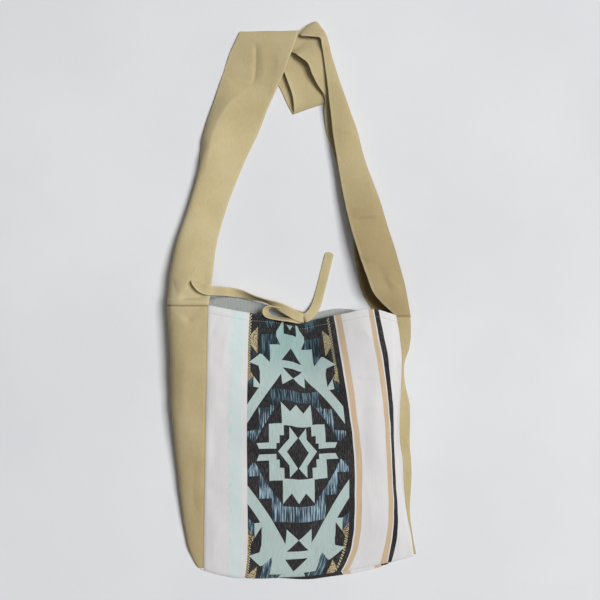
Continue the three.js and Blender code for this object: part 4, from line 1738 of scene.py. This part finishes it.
@dataclass
class ShoulderStrap(ClothPiece):
    """The long canvas strap, folded back on itself at the top and rolled on the right leg.

    The curls are edges that stand up between two stations, with a height, a reach and
    whether they are on the front edge.
    """

    rows: int = 780
    cols: int = 48
    flat_size: tuple[float, float] = (0.084, 1.0)

    LEFT_END = 0.256
    RIGHT_START = 0.72
    LEG_FADE = 0.02
    OUTSIDE = (0.5, 0.62)
    STATIONS = 39
    CURL_RISE = 1.2
    CURLS = (
        (23.6, 29.6, 6.0, 10.0, False),
        (16.3, 19.6, 4.0, 12.0, False),
        (21.6, 25.6, 4.5, 12.0, True),
    )
    LEFT_CREASES = (
        Crease(
            (
                (-60.0, 330.0), (-70.4, 312.2), (-92.8, 290.0), (-110.6, 256.9), (-120.8, 220.8),
                (-132.6, 170.0),
            ),
            9.5, 24.0, 26.0, 0.3,
        ),
        Crease(((-121.6, 240.5), (-127.6, 222.7), (-135.0, 203.4), (-142.4, 181.2)), -3.4, 3.0, 6.0, 0.3),
        Crease(((-54.0, 392.0), (-53.0, 358.5), (-56.0, 330.0), (-63.0, 318.0)), -2.6, 5.0, 2.5),
        Crease(((-44.0, 385.0), (-41.0, 350.0), (-44.0, 318.0)), 1.0, 8.0, 8.0),
        Crease(((-18.0, 372.0), (-20.0, 340.0), (-30.0, 300.0)), 1.0, 7.0, 7.0),
        Crease(((-182.6, -0.2), (-162.1, -0.2), (-141.7, -1.7), (-122.7, -2.4)), 1.6, 2.2, 2.2, 0.05),
        Crease(((-165.0, 2.0), (-150.4, 3.4), (-134.4, 4.9), (-121.2, 7.8)), -3.6, 8.0, 2.2, 0.25),
        Crease(((-132.9, 56.0), (-149.0, 31.2), (-166.5, 6.3)), 2.2, 6.0, 13.0, 0.3, 2.0),
        Crease(((-175.3, 35.5), (-170.9, 19.5), (-163.6, 6.3)), -1.6, 5.0, 6.0, 0.3, 2.0),
        Crease(((-128.5, 41.4), (-127.1, 23.9), (-128.5, 12.2)), -1.6, 4.0, 6.0, 0.25, 1.5),
    )
    RIGHT_CREASES = (
        Crease(((87.1, 121.8), (104.9, 124.8), (122.6, 126.2), (137.4, 127.7)), 2.8, 7.0, 2.0, 0.3),
        Crease(((90.1, 117.4), (109.3, 119.6), (128.5, 121.1)), -2.0, 2.5, 3.5, 0.3),
        Crease(((66.4, 252.0), (81.2, 250.5), (96.0, 249.0)), 1.5, 5.0, 2.5, 0.3),
        Crease(((100.4, 67.1), (106.4, 59.7), (113.8, 56.7)), -2.6, 2.5, 3.0, 0.25),
        Crease(((122.6, 56.7), (137.4, 33.0), (146.3, 6.4)), -3.0, 8.0, 8.0, 0.3),
        Crease(((138.9, 36.0), (149.3, 24.2), (159.6, 15.3)), 2.4, 4.0, 4.0, 0.3),
        Crease(((110.8, 189.8), (118.2, 169.1), (121.1, 145.5)), 2.2, 7.0, 7.0, 0.3),
    )
    RIPPLE = Ripple(55, 30, 90, 0.16)
    JOINS = (Seam(1.9, 0.75), Seam(0.6, 0.3))
    JOIN_ROWS, JOIN_SHARE, JOIN_PULL = 8, 0.003, 4.0
    AGES = ((0.1, (0.12, 0.24)), (0.15, (0.6, 0.8)), (0.3, (0.82, 0.94)))
    # ROLL_AGE is painted shade: it darkens the back half inside the right leg's roll, where shade falls.
    ROLL_AGE, ROLL_ALONG, ROLL_INSIDE = 0.75, (0.8, 0.9), (0.3, 0.5)

    def curl(self, u: Array, v: Array) -> Array:
        """Gives how far the edges of the top fold stand up.

        Args:
            u: Shares along the strap.
            v: Shares from its back edge to its front edge.

        Returns:
            Heights in millimetres.
        """
        station = u * self.STATIONS
        total = np.zeros_like(u)
        for first, last, height, reach, front in self.CURLS:
            rise = smooth(station, first, first + self.CURL_RISE)
            ends = rise * smooth(-station, -last, -last + self.CURL_RISE)
            away = (1 - v if front else v) * self.form.strap_width
            total += height * ends * fading(away, reach)
        return total

    def folds(self, sheet: ClothSheet, u: Array, v: Array) -> Array:
        """Gives how far creases lift the strap's outside.

        Args:
            sheet: The strap's cloth.
            u: Shares along the strap.
            v: Shares from its back edge to its front edge.

        Returns:
            Heights in millimetres.
        """
        x, y = sheet.points[:, 0], sheet.points[:, 1]
        on_left = 1 - smooth(u, self.LEFT_END - self.LEG_FADE, self.LEFT_END)
        on_right = smooth(u, self.RIGHT_START, self.RIGHT_START + self.LEG_FADE) * smooth(v, *self.OUTSIDE)
        return creased(self.LEFT_CREASES, x, y) * on_left + creased(self.RIGHT_CREASES, x, y) * on_right

    def age(self, u: Array, v: Array) -> Array:
        """Gives how much darker the canvas is, most of all inside the roll, where the darkening is painted
        shade.

        Args:
            u: Shares along the strap.
            v: Shares from its back edge to its front edge.

        Returns:
            Shares of darkening.
        """
        inside = smooth(u, *self.ROLL_ALONG) * (1 - smooth(v, *self.ROLL_INSIDE))
        return sum(share * smooth(u, *along) for share, along in self.AGES) + self.ROLL_AGE * inside

    def sheet(self) -> ClothSheet:
        """Makes the strap's cloth.

        Returns:
            The sheet.
        """
        join = np.linspace(0, self.JOIN_SHARE, self.JOIN_ROWS)
        main = np.linspace(join[-1], 1 - join[-1], self.rows)
        along = np.concatenate([join[:-1], main, 1 - join[-2::-1]])
        u, v = np.meshgrid(along, np.linspace(0, 1, self.cols), indexing="ij")
        points = self.form.placed(self.form.strap(u, v))
        points[..., 2] += self.curl(u, v)
        sheet = ClothSheet.grid(points, self.form.strap_cloth)
        column = sheet.loop % self.cols
        sheet.free = (column == 0) | (column == self.cols - 1)
        x, y = sheet.flat.T
        to_ends = (y, y.max() - y)
        lift = self.RIPPLE.at(x, y) + self.folds(sheet, u.ravel(), v.ravel())
        sunk = self.form.seam_dip * sum(seam.groove(away) for seam, away in zip(self.JOINS, to_ends))
        # Painted shade along the seams at both ends, added to the darkening in the tone.
        soil = sum(seam.soiling(away) for seam, away in zip(self.JOINS, to_ends))
        sheet.tone = np.clip(self.age(u, v).ravel() + soil, 0, 1)
        sheet.points = sheet.points - sheet.normals() * (lift - sunk)[:, None]
        sheet.points[:, 1] += self.form.seam_gap / 2 * fading(np.minimum(*to_ends), self.JOIN_PULL)
        return sheet

    def build(self, shelf: FinishShelf) -> Piece:
        return self.declared("strap_cloth", "shoulder_strap", "canvas", shelf.canvas())


@dataclass
class Tie(ClothPiece):
    """A narrow canvas tie along a route of points, each with the way across the tie there."""

    node: str
    route: tuple[tuple[float, ...], ...]
    length: float
    rows: int = 160
    cols: int = 9
    rounding: float = 3.0
    tip: float = 0.55
    soiled: float = 14.0
    soil_fade: float = 6.0
    soil: float = 0.7
    age: float = 0.04
    curl: float = 1.0
    wear_reach: float = 2.0
    path_points: int = 120

    RIPPLE = Ripple(71, 14, 40, 0.12)
    NEAR = 1e-4

    def line(self, u: Array) -> Array:
        """Gives points of the tie's middle line in the row frame."""
        return self.form.placed(rail_through(np.array(self.route)[:, :3])(u))

    def sheet(self) -> ClothSheet:
        """Makes the tie's cloth.

        Returns:
            The sheet.
        """
        u = np.linspace(0, 1, self.rows)
        middle = self.line(u)
        ahead, behind = np.minimum(u + self.NEAR, 1), np.maximum(u - self.NEAR, 0)
        along = normalised(self.line(ahead) - self.line(behind))
        last = len(self.route) - 1
        side = curve_through([(k / last, *row[3:]) for k, row in enumerate(self.route)])(u)
        side = normalised(side - (side * along).sum(1, keepdims=True) * along)
        run = np.concatenate([[0], np.cumsum(steps(middle))])
        left = np.clip((run[-1] - run) / self.rounding, 0, 1)
        width = self.form.tie_width * (self.tip + (1 - self.tip) * np.sqrt(left * (2 - left)))
        across = np.linspace(-0.5, 0.5, self.cols)
        points = middle[:, None] + side[:, None] * across[None, :, None] * width[:, None, None]
        sheet = ClothSheet.grid(points, self.form.tie_cloth, wear_reach=self.wear_reach)
        # Painted shade: the tie is darker over its first stretch, which lies inside the knot.
        soil = self.soil * (1 - smooth(run, self.soiled, self.soiled + self.soil_fade))
        sheet.tone = np.repeat(self.age + soil, self.cols)
        x, y = sheet.flat.T
        lift = self.RIPPLE.at(x, y) + np.tile(self.curl * across**2, self.rows)
        sheet.points = sheet.points + sheet.normals() * lift[:, None]
        return sheet

    def build(self, shelf: FinishShelf) -> Piece:
        """Args:
            shelf: Where the materials are kept.

        Returns:
            The piece.
        """
        piece = self.declared(f"{self.node}_cloth", self.node, "canvas", shelf.canvas())
        path = self.line(np.linspace(0, 1, self.path_points)) * MM
        return piece


FRONT_TIE_ROUTE = (
    (134.1, -31.4, 6.2, 1, 0, 0), (134.7, -24.7, 6.8, 1, 0.2, 0), (136.6, -20.8, 8.9, 0.8, -0.6, 0),
    (140.8, -18.6, 12, 0.35, -0.95, 0), (145.9, -15.9, 12.4, 0.5, -0.87, 0),
    (150.2, -11.8, 11, 0.7, -0.7, 0), (154.1, -6.4, 8.6, 0.85, -0.5, 0),
    (157.6, 0.7, 5.6, 0.93, -0.36, 0), (160.6, 9.7, 3.1, 0.95, -0.3, 0),
    (163.3, 20.2, 1.7, 0.97, -0.25, 0), (168.3, 40.4, 1.3, 0.97, -0.25, 0),
    (173.8, 62.9, 1.3, 0.97, -0.25, 0), (177.9, 78.9, 1.3, 0.97, -0.25, 0),
)
FRONT_TIE_LENGTH = 0.13
BACK_TIE_ROUTE = (
    (135.9, -15.9, 3.2, 0, 1, 0), (128.9, -13.6, 5.5, 0, 1, 0.1), (119.9, -11.0, 11, 0, 0.8, 0.6),
    (109.6, -7.6, 16, 0, 0.45, 0.9), (99.3, -4.1, 19.5, 0.05, 0.25, 1),
    (90.4, -2.5, 21.5, -0.15, 0.25, 0.95), (84.5, -4.7, 22.3, -0.5, 0.2, 0.85),
    (82.5, -8.8, 22.4, -0.62, 0, 0.78), (84.5, -13.1, 22, -0.5, -0.3, 0.8),
    (90.4, -16.5, 22, -0.15, -0.35, 0.93), (99.3, -18.6, 21.4, 0, -0.3, 0.95),
    (109.6, -20.0, 19.6, 0, -0.3, 0.95), (120.0, -20.9, 17.4, 0, -0.5, 0.86),
    (128.9, -20.3, 15.6, 0, -0.9, 0.45), (135.1, -19.3, 15.6, 0, -1, 0),
    (137.4, -18.7, 17.6, 0, -1, 0), (134.8, -18.0, 19.6, 0, -1, 0),
    (128.9, -15.8, 20.6, -0.4, -0.92, 0), (119.3, -10.0, 22, -0.5, -0.86, -0.1),
    (109.7, -4.5, 23.5, -0.45, -0.82, -0.35), (100.9, 0.1, 24.5, -0.35, -0.68, -0.65),
    (90.5, 4.3, 24, -0.2, -0.45, -0.87), (77.1, 8.6, 20, -0.1, -0.35, -0.93),
    (62.0, 12.9, 14, 0, -0.6, -0.8), (48.3, 16.8, 9, 0, -0.85, -0.5),
    (34.8, 19.5, 7.4, 0, -0.97, -0.2), (21.7, 21.0, 11.5, 0, -1, 0), (12.0, 21.5, 28, 0, -1, 0),
    (5.4, 21.7, 39, 0, -1, 0), (-1.7, 22.2, 43, 0, -1, 0), (-9.7, 24.8, 43.3, -0.25, -0.9, 0.25),
    (-16.3, 28.9, 43.3, -0.45, -0.7, 0.55), (-21.1, 33.0, 42.8, -0.45, -0.5, 0.75),
    (-23.8, 36.0, 42, -0.45, -0.45, 0.78),
)
BACK_TIE_LENGTH = 0.32


@dataclass
class StitchRow:
    """A row of thread stitches along a route, made with Geometry Nodes."""

    name: str
    route: Array
    pitch: float = 0.0034
    length: float = 0.0024
    width: float = 0.0005
    seed: int = 5

    SOCKETS = {
        "Geometry": "Geometry", "Pitch": "Float", "Stitch Length": "Float", "Stitch Width": "Float",
        "Thread": "Material",
    }
    BEAD = {"Segments": 6, "Rings": 5, "Radius": 0.5}
    SHORTEST, LONGEST = 0.9, 1.06

    def tree(self) -> bpy.types.NodeTree:
        """Builds the node tree that sets stitches along an edge line.

        Returns:
            The node tree.
        """
        tree = bpy.data.node_groups.new("stitch_row", "GeometryNodeTree")
        for label, kind in self.SOCKETS.items():
            tree.interface.new_socket(label, in_out="INPUT", socket_type=f"NodeSocket{kind}")
        tree.interface.new_socket("Geometry", in_out="OUTPUT", socket_type="NodeSocketGeometry")
        add = NodeGraph(tree).add
        given = add("NodeGroupInput").outputs
        curve = add("GeometryNodeMeshToCurve", {"Mesh": given["Geometry"]}).outputs["Curve"]
        upright = add("GeometryNodeSetCurveNormal", {"Curve": curve}, mode="Z_UP").outputs["Curve"]
        along = {"Curve": upright, "Length": given["Pitch"]}
        spots = add("GeometryNodeCurveToPoints", along, mode="LENGTH").outputs
        span = {2: self.SHORTEST, 3: self.LONGEST, "Seed": self.seed}
        share = add("FunctionNodeRandomValue", span, data_type="FLOAT").outputs[1]
        factors = {0: given["Stitch Length"], 1: share}
        long = add("ShaderNodeMath", factors, operation="MULTIPLY").outputs[0]
        wide = given["Stitch Width"]
        placing = {
            "Points": spots["Points"],
            "Instance": add("GeometryNodeMeshUVSphere", self.BEAD).outputs["Mesh"],
            "Rotation": spots["Rotation"],
            "Scale": add("ShaderNodeCombineXYZ", {"X": wide, "Y": wide, "Z": long}).outputs["Vector"],
        }
        made = add("GeometryNodeInstanceOnPoints", placing).outputs["Instances"]
        for kind in ("SetShadeSmooth", "RealizeInstances"):
            made = add(f"GeometryNode{kind}", {"Geometry": made}).outputs["Geometry"]
        dress = add("GeometryNodeSetMaterial", {"Geometry": made, "Material": given["Thread"]})
        add("NodeGroupOutput", {"Geometry": dress.outputs["Geometry"]})
        return tree

    def build(self, shelf: FinishShelf) -> Piece:
        """Builds the row as a plain mesh that rides with the bag.

        Args:
            shelf: Where the materials are kept.

        Returns:
            The piece.
        """
        line = bpy.data.meshes.new(self.name + "_line")
        edges = [(k, k + 1) for k in range(len(self.route) - 1)]
        line.from_pydata((self.route * MM).tolist(), edges, [])
        piece = put(self.name, line)
        modifier = piece.modifiers.new("stitches", "NODES")
        modifier.node_group = self.tree()
        values = {
            "Pitch": self.pitch,
            "Stitch Length": self.length,
            "Stitch Width": self.width,
            "Thread": shelf.take(ThreadFinish()),
        }
        for item in modifier.node_group.interface.items_tree:
            if item.in_out == "INPUT" and item.name in values:
                modifier[item.identifier] = values[item.name]
        depsgraph = bpy.context.evaluated_depsgraph_get()
        mesh = bpy.data.meshes.new_from_object(piece.evaluated_get(depsgraph), depsgraph=depsgraph)
        piece.modifiers.clear()
        piece.data = mesh
        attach(piece, "root")
        return piece


@dataclass
class Studio:
    """The pale floor, the soft light and the camera above the bag."""

    eye: Rgb = (0.01316, 0.00049, 1.6)
    span: float = 0.9
    sensor: float = 36.0
    clip: tuple[float, float] = (0.05, 50.0)
    floor_size: float = 8.0
    glow: float = 0.06
    backdrop: float = 0.8

    LIGHTS = (("key", (6.9, 1.9, 12.6), 5.5, 1890), ("top", (0.5, 0.0, 3.4), 2.4, 17))

    def camera(self) -> None:
        """Makes the camera, which looks straight down."""
        lens = bpy.data.cameras.new("camera")
        lens.sensor_width = self.sensor
        lens.lens = self.sensor * self.eye[2] / self.span
        lens.clip_start, lens.clip_end = self.clip
        camera = put("camera", lens)
        camera.location = self.eye
        bpy.context.scene.camera = camera

    def light(self, name: str, place: Rgb, size: float, power: float) -> None:
        """Adds a soft light that faces the bag.

        Args:
            name: The light's name.
            place: Where it stands.
            size: Width of its square.
            power: Its power in watts.
        """
        data = bpy.data.lights.new(name, "AREA")
        data.shape = "SQUARE"
        data.size = size
        data.energy = power
        lamp = put(name, data)
        lamp.location = place
        way = -lamp.location.normalized()
        lamp.rotation_euler = way.to_track_quat("-Z", "Y").to_euler()

    def sky(self) -> None:
        """Makes the faint glow all round, seen as a pale backdrop past the floor's edge."""
        sky = bpy.data.worlds.new("studio")
        sky.use_nodes = True
        add = NodeGraph(sky.node_tree).add
        seen = add("ShaderNodeLightPath").outputs["Is Camera Ray"]
        span = {"Value": seen, "To Min": self.glow, "To Max": self.backdrop}
        strength = add("ShaderNodeMapRange", span).outputs["Result"]
        back = add("ShaderNodeBackground", {"Color": (1, 1, 1, 1), "Strength": strength})
        add("ShaderNodeOutputWorld", {"Surface": back.outputs["Background"]})
        bpy.context.scene.world = sky

    def build(self, shelf: FinishShelf) -> None:
        """Builds the floor, the lights and the sky.

        Args:
            shelf: Where the materials are kept.
        """
        half = self.floor_size / 2
        mesh = bpy.data.meshes.new("floor")
        corners = [(-half, -half, 0), (half, -half, 0), (half, half, 0), (-half, half, 0)]
        mesh.from_pydata(corners, [], [(0, 1, 2, 3)])
        mesh.materials.append(shelf.take(FloorFinish()))
        put("floor", mesh)
        for light in self.LIGHTS:
            self.light(*light)
        self.sky()
        bpy.context.scene.view_settings.view_transform = "Standard"


def main() -> None:
    """Builds the bag piece by piece."""
    logging.basicConfig(level=logging.INFO, format="%(name)s: %(message)s")
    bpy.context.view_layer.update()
    form = BagForm()
    shelf = FinishShelf()
    studio = Studio()
    studio.camera()
    front_tie = Tie(form, "front_tie", FRONT_TIE_ROUTE, FRONT_TIE_LENGTH, rows=90)
    back_tie = Tie(form, "back_tie", BACK_TIE_ROUTE, BACK_TIE_LENGTH, rows=260, rounding=22, tip=0.3)
    front, back = FrontPanel(form), BackPanel(form)
    left, right = Gusset(form, Side.LEFT), Gusset(form, Side.RIGHT)
    strap = ShoulderStrap(form)
    pieces = [part.build(shelf) for part in (front_tie, back_tie, front, back, left, right, strap)]
    hem = StitchRow("front_hem_stitches", front.hem_route()).build(shelf)
    studio.build(shelf)
    for piece in (*pieces, hem):
        LOG.info("%s: %d faces", piece.name, len(piece.data.polygons))
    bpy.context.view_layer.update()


if __name__ == "__main__":
    main()
